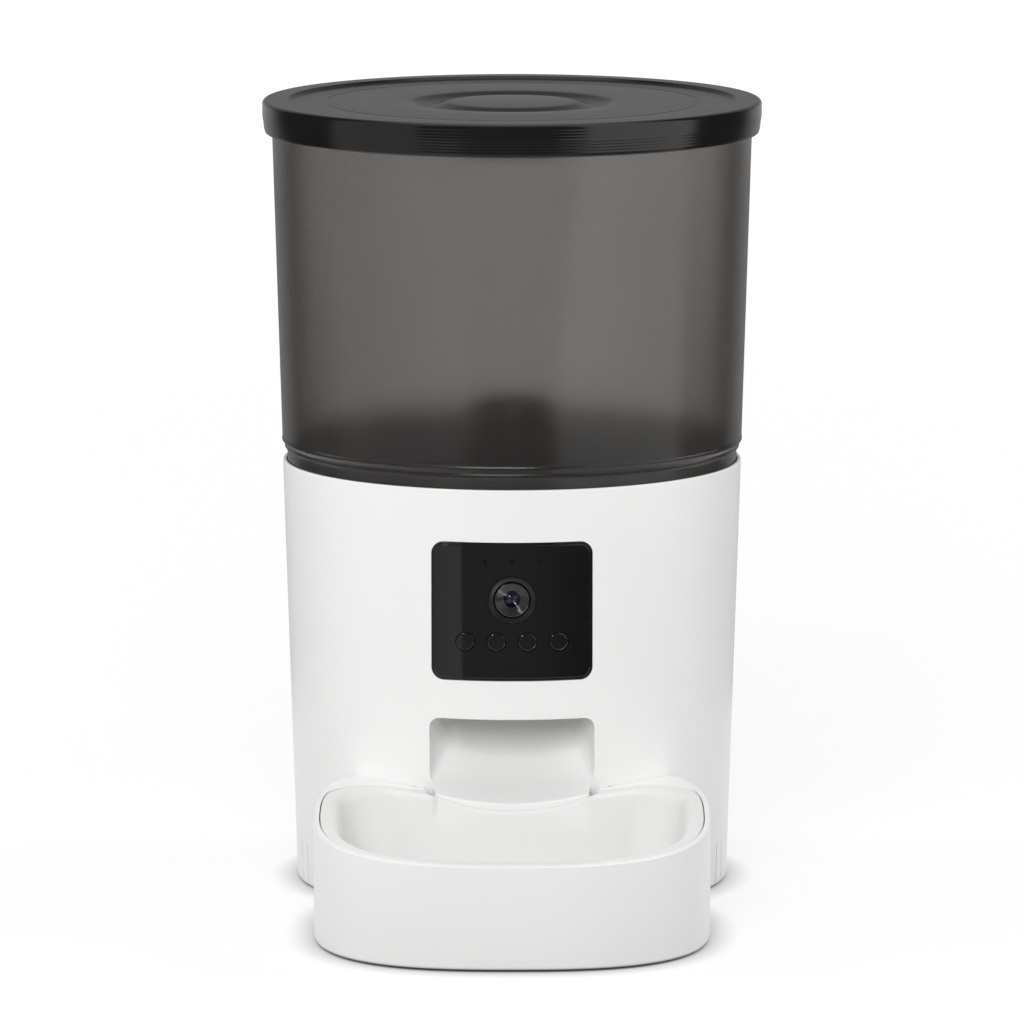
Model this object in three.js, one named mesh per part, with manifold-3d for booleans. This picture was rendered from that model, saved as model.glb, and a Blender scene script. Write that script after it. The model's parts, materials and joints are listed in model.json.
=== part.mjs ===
// Pet feeder with a camera: a round hopper over a motor driven rotor, and a chute to a bowl in front.
// Millimetres, +Z up, front towards -Y. Every piece is drawn about the feeder's own axis, and the
// group that holds them all moves that axis back, so that the origin lies under the middle of the whole.

import * as THREE from 'three';
import { mergeVertices } from 'three/addons/utils/BufferGeometryUtils.js';
import Module from 'manifold-3d';

const wasm = await Module();
wasm.setup();

// Clearances shared by all pieces
const seatGap = 0.3;
const cutOverrun = 6;
const weldDistance = 0.00002;

// Facets
const roundSides = 56;
const middleSides = 36;
const smallSides = 18;
const tinySides = 10;
const cornerSides = 4;

// How far a fillet's middle point stands in from its two ends
const filletShare = 0.33;

// Body shell
const standGap = 1;
const bodyFootRadius = 99.8;
const bodyFlare = 6.2;
const bodyRimLift = 23.5;
const bodyWall = 2.5;
const bodyRimWall = 1.8;
const bodyEdgeRound = 0.8;
const ledgeDrop = 11;
const ledgeThick = 3.2;
const ledgeReach = 3.6;
const ledgeSlope = 4;
const tongueSlitWidth = 0.8;
const tongueSlitHeight = 19;
const tongueAngleShares = [0.372, 0.4];

// Hopper
const hopperRise = 155.8;
const hopperFlare = 4.4;
const hopperStepProud = 0.2;
const hopperStepLift = 4.3;
const hopperStepHeight = 6.5;
const hopperWall = 2.5;

// Lid
const lidOverhang = 4.4;
const lidFootInset = 1.1;
const lidSkirtPlay = 0.4;
const lidTopRise = 10.8;
const lidSideHeight = 5;
const lidEdgeRound = 1.9;
const lidSkirtDrop = 4.4;
const lidSkirtRound = 2.7;
const lidSkinThick = 2.5;
const lidBorderWidth = 12;
const lidBorderStep = 1.2;
const lidBorderChamfer = 0.7;
const grooveInnerRadius = 29.6;
const grooveOuterRadius = 47;
const grooveDepth = 6;
const grooveSteps = 5;
const grooveUnderSteps = 3;
const plugPlay = 2.1;
const plugWall = 2;
const plugFlangeReach = 1;
const plugFlangeThick = 1.5;
const sealHeight = 2.2;
const sealWall = 1.2;

// Desiccant box under the lid
const desiccantRadius = 26.4;
const desiccantDepth = 18;
const desiccantWall = 1.8;
const desiccantCoverThick = 2.4;
const desiccantSlotWidth = 2.4;
const desiccantSlotLength = 30;
const desiccantSlotPitch = 8;
const desiccantSlotCount = 5;

// Funnel
const funnelFlangeThick = 2.5;
const funnelSpigotHeight = 18;
const funnelSpigotWall = 2;
const funnelSpigotPlay = 0.5;
const funnelSkin = 2.5;
const funnelThroatReach = 4.7;
const funnelThroatLift = 2.6;
const funnelLipDrop = 2.5;

// Rotor well, outlet and guard
const deckDrop = 33.5;
const deckThick = 3.3;
const wellRadius = 60;
const wellWall = 2.2;
const wellFloorRadius = 72.5;
const wellFloorThick = 2.5;
const wellHeight = 25.8;
const wellFlangeReach = 7;
const outletInnerRadius = 32;
const outletOuterRadius = 57.5;
const outletHalfAngle = THREE.MathUtils.degToRad(32);
const guardThick = 2.2;
const guardInnerRadius = 23.5;
const guardHalfAngle = THREE.MathUtils.degToRad(36);

// Rotor and agitator
const rotorRunningGap = 1;
const rotorHubRadius = 20;
const rotorHubRise = 6;
const rotorHubPlugRadius = 17;
const rotorHubPlugHeight = 5;
const rotorBladeThick = 2.6;
const rotorBladeHeight = 21;
const rotorBladeCount = 6;
const agitatorFootRadius = 27;
const agitatorWaistRadius = 25;
const agitatorTopRadius = 20;
const agitatorTopRound = 4;
const agitatorHeight = 37.4;
const agitatorWaistHeight = 16;
const agitatorWall = 2;

// Drive
const shaftRadius = 4;
const shaftFlatDepth = 1;
const shaftInHub = 20;
const gearModule = 1.25;
const driveTeeth = 36;
const pinionTeeth = 12;
const gearThick = 7;
const gearAddendumShare = 0.85;
const gearDedendumShare = 1.2;
const toothTipShare = 0.24;
const toothRootShare = 0.6;
const driveHubRadius = 9;
const driveHubThick = 8;
const gearCaseWall = 1.8;
const gearCaseHalfWidth = 27.5;
const gearCaseFront = 26.8;
const gearCaseBack = 45;
const gearCaseRound = 8;
const gearCaseHeight = 13;
const gearCaseCoverThick = 2;
const motorRadius = 12.5;
const motorHeadLength = 34.5;
const motorCanRadius = 12.1;
const motorCanLength = 24;
const motorBossRadius = 5;
const motorBossLength = 4;
const motorShaftRadius = 2;
const motorShaftSeat = 6;
const motorNosePlay = 1;

// Chute
const chuteLipOverhang = 10.7;
const chuteLipHeight = 53.7;
const chuteLipSlopeShare = 0.1;
const chuteLipThick = 4.2;
const chuteLipUnderDepth = 5.4;
const chuteLipArcRadius = 76;
const chuteSkin = 2.2;
const chuteBackReach = 31.2;
const chuteBackDrop = 21.7;
const chuteHalfWidth = 32.5;
const chuteMouthHalfWidth = 37.4;
const chuteMouthPlay = 0.6;
const chuteLipHalfWidth = 34.6;
const chuteFlareReach = 75;
const chuteFrontReach = 60;
const chuteKneeReach = 72;
const chuteKneeDrop = 45.7;
const chuteRoofRise = 5;
const chuteDishRise = 12;
const chuteDishPower = 4;
const chuteGridAcross = 10;
const chuteGridAlong = 10;
const mouthTop = 90.5;
const mouthCorner = 4.6;

// Control panel
const panelWidth = 73;
const panelHeight = 64.5;
const panelLift = 17.7;
const panelCorner = 5.5;
const panelProud = 0.3;
const panelFlangeReach = 3;
const panelFlangeThick = 1.7;
const pinholeRadius = 0.9;
const pinholeDrop = 9.5;
const pinholePitch = 12.1;
const panelPostRadius = 2.5;
const panelPostInset = 6.5;

// Buttons
const buttonRadius = 4.2;
const buttonLift = 18.3;
const buttonPitch = 14.15;
const buttonCount = 4;
const buttonProud = 0.2;
const buttonCollarReach = 1.1;
const buttonCollarThick = 1.2;
const buttonStemRadius = 2;
const buttonTravel = 0.7;
const buttonSwitchPlay = 0.2;

// Camera
const lensDrop = 26.8;
const ringRadius = 10.7;
const ringBore = 8.2;
const ringProud = 0.6;
const ringDepth = 4;
const barrelRadius = 7.8;
const barrelSetBack = 0.3;
const barrelLength = 9.5;
const barrelMouthRadius = 7.2;
const barrelThroatRadius = 3.6;
const barrelConeDepth = 3;
const barrelBoreDepth = 2.2;
const lensRadius = 3.3;
const lensDome = 1.1;
const lensThick = 1.9;
const cameraHalfWidth = 11;
const cameraDepthGap = 0.3;

// Front circuit board behind the panel
const frontBoardSetBack = 18;
const boardThick = 1.6;
const frontBoardHalfWidth = 33;
const frontBoardInset = 2.5;
const switchSide = 6;
const switchDepth = 3.5;
const switchPlungerRadius = 1.6;
const switchPlungerLength = 1.2;

// Inner frame
const deckPlay = 0.6;
const deckFrontSetBack = 21.9;
const legSide = 9;
const legInset = 14.5;
const legAngle = THREE.MathUtils.degToRad(39.1);
const shaftHolePlay = 1.5;

// Base plate
const basePlateLift = 1.5;
const basePlateThick = 3;
const baseRimHeight = 7.5;
const baseRimWall = 2.4;
const baseBossRadius = 6.5;
const baseBossHeight = 3.5;
const footRadius = 8;
const footHeight = 2.9;
const footChamfer = 0.6;
const footPocketDepth = 1.7;
const footInset = 11.1;
const footAngle = THREE.MathUtils.degToRad(62.2);
const screwRadius = 1.5;
const screwLength = 13;
const screwHeadRadius = 3.2;
const screwHeadThick = 2;
const screwHeadDepth = 3;
const screwSlotWidth = 0.8;
const screwSlotDepth = 0.9;

// Battery bay for three D cells, with its door in the base plate
const cellRadius = 17.1;
const cellLength = 61.5;
const cellCount = 3;
const cellPlay = 0.4;
const contactDepth = 2.2;
const contactThick = 0.5;
const contactBumpRadius = 5;
const bayY = 15.4;
const bayWall = 2.2;
const bayHeight = 39;
const doorThick = 1.9;
const doorLedge = 2.4;
const doorGripWidth = 16;
const doorGripDepth = 0.8;
const doorGripCount = 3;
const doorGripPitch = 3;

// Main circuit board on the battery box
const standoffRadius = 3;
const standoffHeight = 4;
const mainBoardHalfWidth = 42;
const mainBoardHalfDepth = 26;
const chipSide = 12;
const chipHeight = 2;
const plugBlockLength = 16;
const plugBlockHeight = 6;

// Speaker and power socket
const speakerRadius = 18;
const speakerInset = 37;
const speakerFlangeThick = 1.6;
const speakerHeight = 11;
const speakerMagnetRadius = 9;
const speakerMagnetThick = 5;
const speakerHoleRadius = 1.3;
const speakerHoleRing = 7.5;
const speakerHoleCount = 8;
const socketHeight = 14;
const socketHalfWidth = 7;
const socketTop = 22;
const socketDepth = 14;
const socketBarrelRadius = 4.2;
const socketBoreRadius = 2.8;
const socketBoreDepth = 10;
const socketPinRadius = 0.8;

// Bowl tray
const trayHalfWidth = 89.2;
const trayCentre = 137;
const trayHalfLength = 92.3;
const trayRoundness = 2.7;
const trayRimFront = 47.4;
const trayRimSlopeShare = 0.08;
const trayWall = 2.6;
const trayFloorThick = 2.2;
const trayBodyGap = 0.4;
const trayBackWall = 4.4;
const trayCornerRadius = 5;
const trayNotchHalfWidth = 38.4;
const trayNotchFloor = 46;
const hookX = 45;
const hookWidth = 12;
const hookHeight = 6;
const hookBottom = 28;
const hookReach = 6;
const outlineSteps = 36;
const outlineArcSteps = 6;
const outlineBackSteps = 10;

// Food bowl
const bowlGap = 0.4;
const bowlLipWidth = 6.1;
const bowlLipThick = 2.2;
const bowlWall = 2;
const bowlFloorThick = 2.2;
const bowlBackPlay = 0.5;
const bowlBackGap = 1;
const bowlCornerRadius = 22;
const bowlNotchHalfWidth = 37;
const bowlNotchPlay = 0.5;
const bowlNotchSteps = 8;

// Colours, as red, green and blue
const white = [0.86, 0.86, 0.85];
const smoke = [0.16, 0.155, 0.15];
const nearBlack = [0.03, 0.03, 0.032];
const glossBlack = [0.012, 0.012, 0.013];
const darkGrey = [0.07, 0.07, 0.075];
const rubberGrey = [0.1, 0.1, 0.1];
const boardGreen = [0.03, 0.16, 0.08];
const steel = [0.6, 0.6, 0.62];
const brass = [0.7, 0.55, 0.25];
const nylon = [0.75, 0.74, 0.68];
const lensBlue = [0.02, 0.025, 0.06];

// Heights and radii that several pieces share
const bodyRimRadius = bodyFootRadius + bodyFlare;
const panelBottom = mouthTop + panelLift;
const panelTop = panelBottom + panelHeight;
const bodyRimHeight = panelTop + bodyRimLift;
const hopperTopHeight = bodyRimHeight + hopperRise;
const pinholeHeight = panelTop - pinholeDrop;
const lensHeight = panelTop - lensDrop;
const buttonHeight = panelBottom + buttonLift;
const bodyTaperShare = (bodyRimRadius - bodyFootRadius) / (bodyRimHeight - standGap);
const bodyRimInner = bodyRimRadius - bodyRimWall;
const hopperStepRadius = bodyRimRadius + hopperStepProud;
const hopperTopRadius = hopperStepRadius + hopperFlare;
const lidRadius = hopperTopRadius + lidOverhang;
const lidFootRadius = lidRadius - lidFootInset;
const lidSkirtInner = hopperTopRadius + lidSkirtPlay;
const plugRadius = hopperTopRadius - hopperWall - plugPlay;
const chuteLipReach = bodyRadiusAt(chuteLipHeight) + chuteLipOverhang;
const ledgeTop = bodyRimHeight - ledgeDrop;
const deckTop = ledgeTop - deckDrop;
const chuteBackHeight = deckTop - chuteBackDrop;
const chuteKneeHeight = deckTop - chuteKneeDrop;
const funnelFlangeBottom = ledgeTop + seatGap;
const funnelFlangeTop = funnelFlangeBottom + funnelFlangeThick;
const hopperBottom = funnelFlangeTop + seatGap;
const hopperNeckRadius = bodyRimInner - seatGap;
const hopperStepLow = bodyRimHeight + hopperStepLift;
const hopperStepHigh = hopperStepLow + hopperStepHeight;
const hopperNeckInner = hopperNeckRadius - hopperWall;
const funnelSpigotRadius = hopperNeckInner - funnelSpigotPlay;
const wellBottom = deckTop + seatGap;
const wellFloorTop = wellBottom + wellFloorThick;
const wellTop = wellBottom + wellHeight;
const guardBottom = wellTop + seatGap;
const guardTop = guardBottom + guardThick;
const throatBottom = guardTop + seatGap;
const lidLand = hopperTopHeight + seatGap;
const lidTop = lidLand + lidTopRise - seatGap;
const lidField = lidTop - lidBorderStep;
const lidUnderside = lidField - lidSkinThick;
const rotorBottom = wellFloorTop + rotorRunningGap;
const rotorHubTop = guardTop + rotorHubRise;
const shaftTop = rotorBottom + shaftInHub;
const deckBottom = deckTop - deckThick;
const gearCoverTop = deckBottom - seatGap;
const gearCoverBottom = gearCoverTop - gearCaseCoverThick;
const gearCaseTop = gearCoverBottom - seatGap;
const gearCaseBottom = gearCaseTop - gearCaseHeight;
const gearCaseFloor = gearCaseBottom + gearCaseWall;
const gearBottom = (gearCaseFloor + gearCoverBottom - gearThick) / 2;
const shaftBottom = gearCaseFloor + seatGap;
const gearCentres = gearModule * (driveTeeth + pinionTeeth) / 2;
const motorTop = gearCaseBottom - seatGap;
const basePlateTop = basePlateLift + basePlateThick;
const basePlateRadius = bodyInnerAt(basePlateLift) - seatGap;
const baseBossTop = basePlateTop + baseBossHeight;
const speakerY = basePlateRadius - speakerInset;
const footX = (basePlateRadius - footInset) * Math.cos(footAngle);
const footY = (basePlateRadius - footInset) * Math.sin(footAngle);
const legX = (basePlateRadius - legInset) * Math.cos(legAngle);
const legY = (basePlateRadius - legInset) * Math.sin(legAngle);
const legBottom = baseBossTop + seatGap;
const bayBottom = basePlateTop + seatGap;
const bayTop = bayBottom + bayHeight;
const bayHalfWidth = cellCount * (cellRadius + cellPlay);
const bayHalfLength = cellLength / 2 + contactDepth;
const panelMiddle = (panelTop + panelBottom) / 2;
const panelBackOffset = bodyWall + seatGap + panelFlangeThick;
const frontBoardFace = -(bodyRadiusAt(lensHeight) - frontBoardSetBack);
const deckFront = bodyInnerAt(deckBottom) - deckFrontSetBack;
const lensFace = -(bodyRadiusAt(lensHeight) + panelProud);
const cameraFront = lensFace + barrelSetBack + barrelLength;
const trayFront = trayCentre + trayHalfLength;
const trayWellBack = bodyRadiusAt(trayRimAt(-bodyRimRadius)) + trayBackWall;
const bowlLipBack = trayWellBack + bowlBackGap;
const trayFloorTop = standGap + trayFloorThick;
const bowlBottom = trayFloorTop + seatGap;
const bowlBackOuter = chuteLipReach + bowlBackPlay;
const bowlBackInner = bowlBackOuter + bowlWall;
const bowlLipInset = trayWall + bowlGap;
const bowlCavityInset = bowlLipInset + bowlLipWidth;
const depthCentre = (trayFront - lidRadius) / 2;

function bodyRadiusAt(z) {
  return bodyFootRadius + bodyTaperShare * (z - standGap);
}

function bodyInnerAt(z) {
  return bodyRadiusAt(z) - bodyWall;
}

// Solids: each maker returns a closed manifold body

function signedVolume(positions, triangles) {
  const a = new THREE.Vector3();
  const b = new THREE.Vector3();
  const c = new THREE.Vector3();
  let sum = 0;
  for (let i = 0; i < triangles.length; i += 3) {
    a.fromArray(positions, triangles[i] * 3);
    b.fromArray(positions, triangles[i + 1] * 3);
    c.fromArray(positions, triangles[i + 2] * 3);
    sum += a.dot(b.cross(c));
  }
  return sum / 6;
}

function solid(geometry) {
  const bare = geometry.clone();
  bare.deleteAttribute('normal');
  bare.deleteAttribute('uv');
  const merged = mergeVertices(bare, weldDistance);
  const vertProperties = new Float32Array(merged.attributes.position.array);
  const kept = [];
  const index = merged.index.array;
  for (let i = 0; i < index.length; i += 3) {
    const [a, b, c] = [index[i], index[i + 1], index[i + 2]];
    if (a !== b && b !== c && c !== a) {
      kept.push(a, b, c);
    }
  }
  if (signedVolume(vertProperties, kept) < 0) {
    for (let i = 0; i < kept.length; i += 3) {
      [kept[i], kept[i + 1]] = [kept[i + 1], kept[i]];
    }
  }
  const mesh = new wasm.Mesh({ numProp: 3, vertProperties, triVerts: new Uint32Array(kept) });
  return new wasm.Manifold(mesh);
}

function geometryOf(body) {
  const mesh = body.getMesh();
  const geometry = new THREE.BufferGeometry();
  geometry.setAttribute('position', new THREE.BufferAttribute(mesh.vertProperties, 3));
  geometry.setIndex(new THREE.BufferAttribute(mesh.triVerts, 1));
  geometry.computeVertexNormals();
  return geometry;
}

// Turns a profile of [radius, height] points about the Z axis
function turned(points, sides = roundSides) {
  const profile = points.map(([radius, height]) => new THREE.Vector2(radius, height));
  const onAxis = points[0][0] === 0 && points[points.length - 1][0] === 0;
  if (!onAxis) {
    profile.push(profile[0].clone());
  }
  return solid(new THREE.LatheGeometry(profile, sides).rotateX(Math.PI / 2));
}

function disc(radius, bottom, top, sides = roundSides) {
  return turned([[0, bottom], [radius, bottom], [radius, top], [0, top]], sides);
}

function discAt(x, y, radius, bottom, top, sides = smallSides) {
  const profile = [[0, bottom], [radius, bottom], [radius, top], [0, top]];
  return turnedAt(x, y, profile, sides);
}

function turnedAt(x, y, points, sides = smallSides) {
  const profile = points.map(([radius, height]) => new THREE.Vector2(radius, height));
  const onAxis = points[0][0] === 0 && points[points.length - 1][0] === 0;
  if (!onAxis) {
    profile.push(profile[0].clone());
  }
  return solid(new THREE.LatheGeometry(profile, sides).rotateX(Math.PI / 2).translate(x, y, 0));
}

// Turns a profile of [radius, y] points about an axis along Y through x, z
function turnedAlongY(x, z, points, sides = smallSides) {
  const profile = points.map(([radius, y]) => new THREE.Vector2(radius, y));
  const onAxis = points[0][0] === 0 && points[points.length - 1][0] === 0;
  if (!onAxis) {
    profile.push(profile[0].clone());
  }
  return solid(new THREE.LatheGeometry(profile, sides).translate(x, 0, z));
}

function rodAlongY(x, z, radius, front, back, sides = smallSides) {
  return turnedAlongY(x, z, [[0, front], [radius, front], [radius, back], [0, back]], sides);
}

function block(x0, x1, y0, y1, z0, z1) {
  const geometry = new THREE.BoxGeometry(x1 - x0, y1 - y0, z1 - z0);
  return solid(geometry.translate((x0 + x1) / 2, (y0 + y1) / 2, (z0 + z1) / 2));
}

// Raises a shape drawn in X and Y
function raised(shape, bottom, top) {
  const geometry = new THREE.ExtrudeGeometry(shape, {
    depth: top - bottom, bevelEnabled: false, curveSegments: cornerSides,
  });
  return solid(geometry.translate(0, 0, bottom));
}

// Runs a shape drawn in X and Z along Y
function drawnThroughY(shape, front, back) {
  const geometry = new THREE.ExtrudeGeometry(shape, {
    depth: back - front, bevelEnabled: false, curveSegments: cornerSides,
  });
  return solid(geometry.rotateX(Math.PI / 2).translate(0, back, 0));
}

// Runs a shape drawn in Y and Z along X
function drawnThroughX(shape, left, right) {
  const geometry = new THREE.ExtrudeGeometry(shape, {
    depth: right - left, bevelEnabled: false, curveSegments: cornerSides,
  });
  const turn = new THREE.Matrix4().makeBasis(
    new THREE.Vector3(0, 1, 0),
    new THREE.Vector3(0, 0, 1),
    new THREE.Vector3(1, 0, 0),
  );
  return solid(geometry.applyMatrix4(turn).translate(left, 0, 0));
}

function shapeOf(points) {
  return new THREE.Shape(points.map(([x, y]) => new THREE.Vector2(x, y)));
}

function roundedRectangle(centreX, centreY, width, height, radius) {
  const left = centreX - width / 2;
  const right = centreX + width / 2;
  const low = centreY - height / 2;
  const high = centreY + height / 2;
  const shape = new THREE.Shape();
  shape.moveTo(left + radius, low);
  shape.lineTo(right - radius, low);
  shape.absarc(right - radius, low + radius, radius, -Math.PI / 2, 0, false);
  shape.lineTo(right, high - radius);
  shape.absarc(right - radius, high - radius, radius, 0, Math.PI / 2, false);
  shape.lineTo(left + radius, high);
  shape.absarc(left + radius, high - radius, radius, Math.PI / 2, Math.PI, false);
  shape.lineTo(left, low + radius);
  shape.absarc(left + radius, low + radius, radius, Math.PI, 3 * Math.PI / 2, false);
  return shape;
}

// A sector of a ring, centred on the front direction
function frontSector(innerRadius, outerRadius, halfAngle) {
  const middle = -Math.PI / 2;
  const steps = outlineBackSteps;
  const points = [];
  for (let i = 0; i <= steps; i += 1) {
    const angle = middle - halfAngle + 2 * halfAngle * i / steps;
    points.push([outerRadius * Math.cos(angle), outerRadius * Math.sin(angle)]);
  }
  for (let i = steps; i >= 0; i -= 1) {
    const angle = middle - halfAngle + 2 * halfAngle * i / steps;
    points.push([innerRadius * Math.cos(angle), innerRadius * Math.sin(angle)]);
  }
  return shapeOf(points);
}

// A layer of the body's own taper, between two offsets from its outer surface
function bodyLayer(innerOffset, outerOffset, bottom, top) {
  return turned([
    [bodyRadiusAt(bottom) - innerOffset, bottom],
    [bodyRadiusAt(bottom) + outerOffset, bottom],
    [bodyRadiusAt(top) + outerOffset, top],
    [bodyRadiusAt(top) - innerOffset, top],
  ]);
}

function bodyCore(offset, bottom, top) {
  return turned([
    [0, bottom],
    [bodyRadiusAt(bottom) + offset, bottom],
    [bodyRadiusAt(top) + offset, top],
    [0, top],
  ]);
}

// Chute ramp: its height falls in a curve from the back wall to the lip

const chuteRun = chuteLipReach - chuteBackReach;
const chuteCurl = (chuteBackHeight - chuteLipHeight - chuteLipSlopeShare * chuteRun) / (chuteRun * chuteRun);

function rampHeight(y) {
  const inward = chuteLipReach + y;
  return chuteLipHeight + chuteLipSlopeShare * inward + chuteCurl * inward * inward;
}

function rampSlope(y) {
  return chuteLipSlopeShare + 2 * chuteCurl * (chuteLipReach + y);
}

function rampUnderside(y) {
  return rampHeight(y) - chuteSkin * Math.hypot(1, rampSlope(y));
}

function chuteHalfWidthAt(y) {
  const mouth = bodyInnerAt(mouthTop) * Math.cos(Math.asin(chuteMouthHalfWidth / bodyInnerAt(mouthTop)));
  const share = THREE.MathUtils.clamp((-y - chuteFlareReach) / (mouth - chuteFlareReach), 0, 1);
  return chuteHalfWidth + (chuteMouthHalfWidth - chuteHalfWidth) * share;
}

// The free space over the ramp, between two reaches from the axis
function overRamp(nearReach, farReach, halfWidthAt) {
  const top = wellFloorTop + cutOverrun;
  const run = farReach - nearReach;
  const grid = new THREE.BoxGeometry(2, run, 1, chuteGridAcross, chuteGridAlong, 1);
  const places = grid.attributes.position;
  for (let i = 0; i < places.count; i += 1) {
    const share = places.getX(i);
    const y = -(nearReach + farReach) / 2 + places.getY(i);
    const depthShare = THREE.MathUtils.clamp((chuteLipReach - chuteLipOverhang + y) / chuteRun, 0, 1);
    const floor = rampHeight(y) + chuteDishRise * depthShare * Math.pow(Math.abs(share), chuteDishPower);
    places.setXYZ(i, share * halfWidthAt(y), y, places.getZ(i) > 0 ? top : floor);
  }
  return solid(grid);
}

// Plan outline of the tray family: a round ended front and sides, closed by an arc about the body

function trayCurve(angle, inset) {
  const c = Math.cos(angle);
  const s = Math.sin(angle);
  const reach = Math.pow(
    Math.pow(Math.abs(c) / trayHalfWidth, trayRoundness)
    + Math.pow(Math.abs(s) / trayHalfLength, trayRoundness),
    -1 / trayRoundness,
  );
  const x = reach * c;
  const y = reach * s;
  const slopeX = Math.sign(x) * Math.pow(Math.abs(x) / trayHalfWidth, trayRoundness - 1) / trayHalfWidth;
  const slopeY = Math.sign(y) * Math.pow(Math.abs(y) / trayHalfLength, trayRoundness - 1) / trayHalfLength;
  const size = Math.hypot(slopeX, slopeY);
  return [x - inset * slopeX / size, y - trayCentre - inset * slopeY / size];
}

// The angle on the right side at which the inset curve comes within a reach of the body's axis
function trayEndAngle(inset, reach) {
  let low = 0;
  let high = Math.PI / 2;
  for (let i = 0; i < 40; i += 1) {
    const middle = (low + high) / 2;
    const [x, y] = trayCurve(middle, inset);
    if (Math.hypot(x, y) > reach) {
      low = middle;
    } else {
      high = middle;
    }
  }
  return (low + high) / 2;
}

function trayOutline(inset, backRadius, cornerRadius) {
  const endAngle = trayEndAngle(inset + cornerRadius, backRadius + cornerRadius);
  const centre = trayCurve(endAngle, inset + cornerRadius);
  const onCurve = trayCurve(endAngle, inset);
  const shrink = backRadius / (backRadius + cornerRadius);
  const onBack = [centre[0] * shrink, centre[1] * shrink];
  const right = [];
  for (let i = 0; i <= outlineSteps / 2; i += 1) {
    const angle = -Math.PI / 2 + (endAngle + Math.PI / 2) * i / (outlineSteps / 2);
    right.push(trayCurve(angle, inset));
  }
  const from = Math.atan2(onCurve[1] - centre[1], onCurve[0] - centre[0]);
  let to = Math.atan2(onBack[1] - centre[1], onBack[0] - centre[0]);
  if (to < from) {
    to += 2 * Math.PI;
  }
  for (let i = 1; i <= outlineArcSteps; i += 1) {
    const angle = from + (to - from) * i / outlineArcSteps;
    right.push([centre[0] + cornerRadius * Math.cos(angle), centre[1] + cornerRadius * Math.sin(angle)]);
  }
  const backAngle = Math.atan2(onBack[0], -onBack[1]);
  for (let i = 1; i <= outlineBackSteps / 2; i += 1) {
    const angle = backAngle * (1 - i / (outlineBackSteps / 2));
    right.push([backRadius * Math.sin(angle), -backRadius * Math.cos(angle)]);
  }
  const left = right.slice(1, -1).reverse().map(([x, y]) => [-x, y]);
  return shapeOf([...right, ...left]);
}

function trayRimAt(y) {
  return trayRimFront + trayRimSlopeShare * (y + trayFront);
}

// Everything under the sloping rim plane, lowered by a drop
function underRim(drop) {
  const front = -trayFront - cutOverrun;
  const back = cutOverrun;
  const profile = shapeOf([
    [front, -cutOverrun],
    [back, -cutOverrun],
    [back, trayRimAt(back) - drop],
    [front, trayRimAt(front) - drop],
  ]);
  return drawnThroughX(profile, -trayHalfWidth - cutOverrun, trayHalfWidth + cutOverrun);
}

// Body shell with the chute mouth, panel opening, hook slots, tongue slits and socket hole

function mouthShape() {
  const half = chuteMouthHalfWidth + chuteMouthPlay;
  const points = [];
  for (let i = 0; i <= bowlNotchSteps; i += 1) {
    const x = -half + 2 * half * i / bowlNotchSteps;
    const skin = bodyRadiusAt(chuteLipHeight);
    points.push([x, rampUnderside(-Math.sqrt(skin * skin - x * x)) - seatGap]);
  }
  for (let i = 0; i <= cornerSides; i += 1) {
    const angle = Math.PI / 2 * i / cornerSides;
    points.push([
      half - mouthCorner + mouthCorner * Math.cos(angle),
      mouthTop - mouthCorner + mouthCorner * Math.sin(angle),
    ]);
  }
  for (let i = 0; i <= cornerSides; i += 1) {
    const angle = Math.PI / 2 + Math.PI / 2 * i / cornerSides;
    points.push([
      -half + mouthCorner + mouthCorner * Math.cos(angle),
      mouthTop - mouthCorner + mouthCorner * Math.sin(angle),
    ]);
  }
  return shapeOf(points);
}

function makeBodyShell() {
  const ledgeBottom = ledgeTop - ledgeThick;
  const slopeEnd = ledgeBottom - ledgeSlope;
  let body = turned([
    [bodyInnerAt(standGap), standGap],
    [bodyRadiusAt(standGap) - bodyEdgeRound, standGap],
    [bodyRadiusAt(standGap + bodyEdgeRound), standGap + bodyEdgeRound],
    [bodyRadiusAt(bodyRimHeight - bodyEdgeRound), bodyRimHeight - bodyEdgeRound],
    [bodyRimRadius - bodyEdgeRound / 2, bodyRimHeight],
    [bodyRimInner, bodyRimHeight],
    [bodyRimInner, ledgeTop],
    [bodyRimInner - ledgeReach, ledgeTop],
    [bodyRimInner - ledgeReach, ledgeBottom],
    [bodyInnerAt(slopeEnd), slopeEnd],
  ]);
  const far = bodyRimRadius + cutOverrun;
  const near = bodyFootRadius / 2;
  body = body.subtract(drawnThroughY(mouthShape(), -far, -near));
  const opening = roundedRectangle(
    0, panelMiddle, panelWidth + 2 * seatGap, panelHeight + 2 * seatGap, panelCorner + seatGap,
  );
  body = body.subtract(drawnThroughY(opening, -far, -near));
  for (const side of [-1, 1]) {
    const left = side * hookX - hookWidth / 2 - seatGap;
    const right = side * hookX + hookWidth / 2 + seatGap;
    const low = hookBottom - seatGap;
    body = body.subtract(block(left, right, -far, -near, low, low + hookHeight + 2 * seatGap));
    for (const share of tongueAngleShares) {
      const slit = new THREE.BoxGeometry(tongueSlitWidth, bodyFootRadius, tongueSlitHeight + cutOverrun);
      slit.translate(0, -bodyFootRadius, standGap + tongueSlitHeight - (tongueSlitHeight + cutOverrun) / 2);
      body = body.subtract(solid(slit.rotateZ(side * share * Math.PI)));
    }
  }
  const hole = rodAlongY(0, socketHeight, socketBarrelRadius + seatGap, near, far, tinySides);
  return body.subtract(hole);
}

// Hopper: a tapered tube, stepped in to the neck that drops into the body's rim

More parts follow.
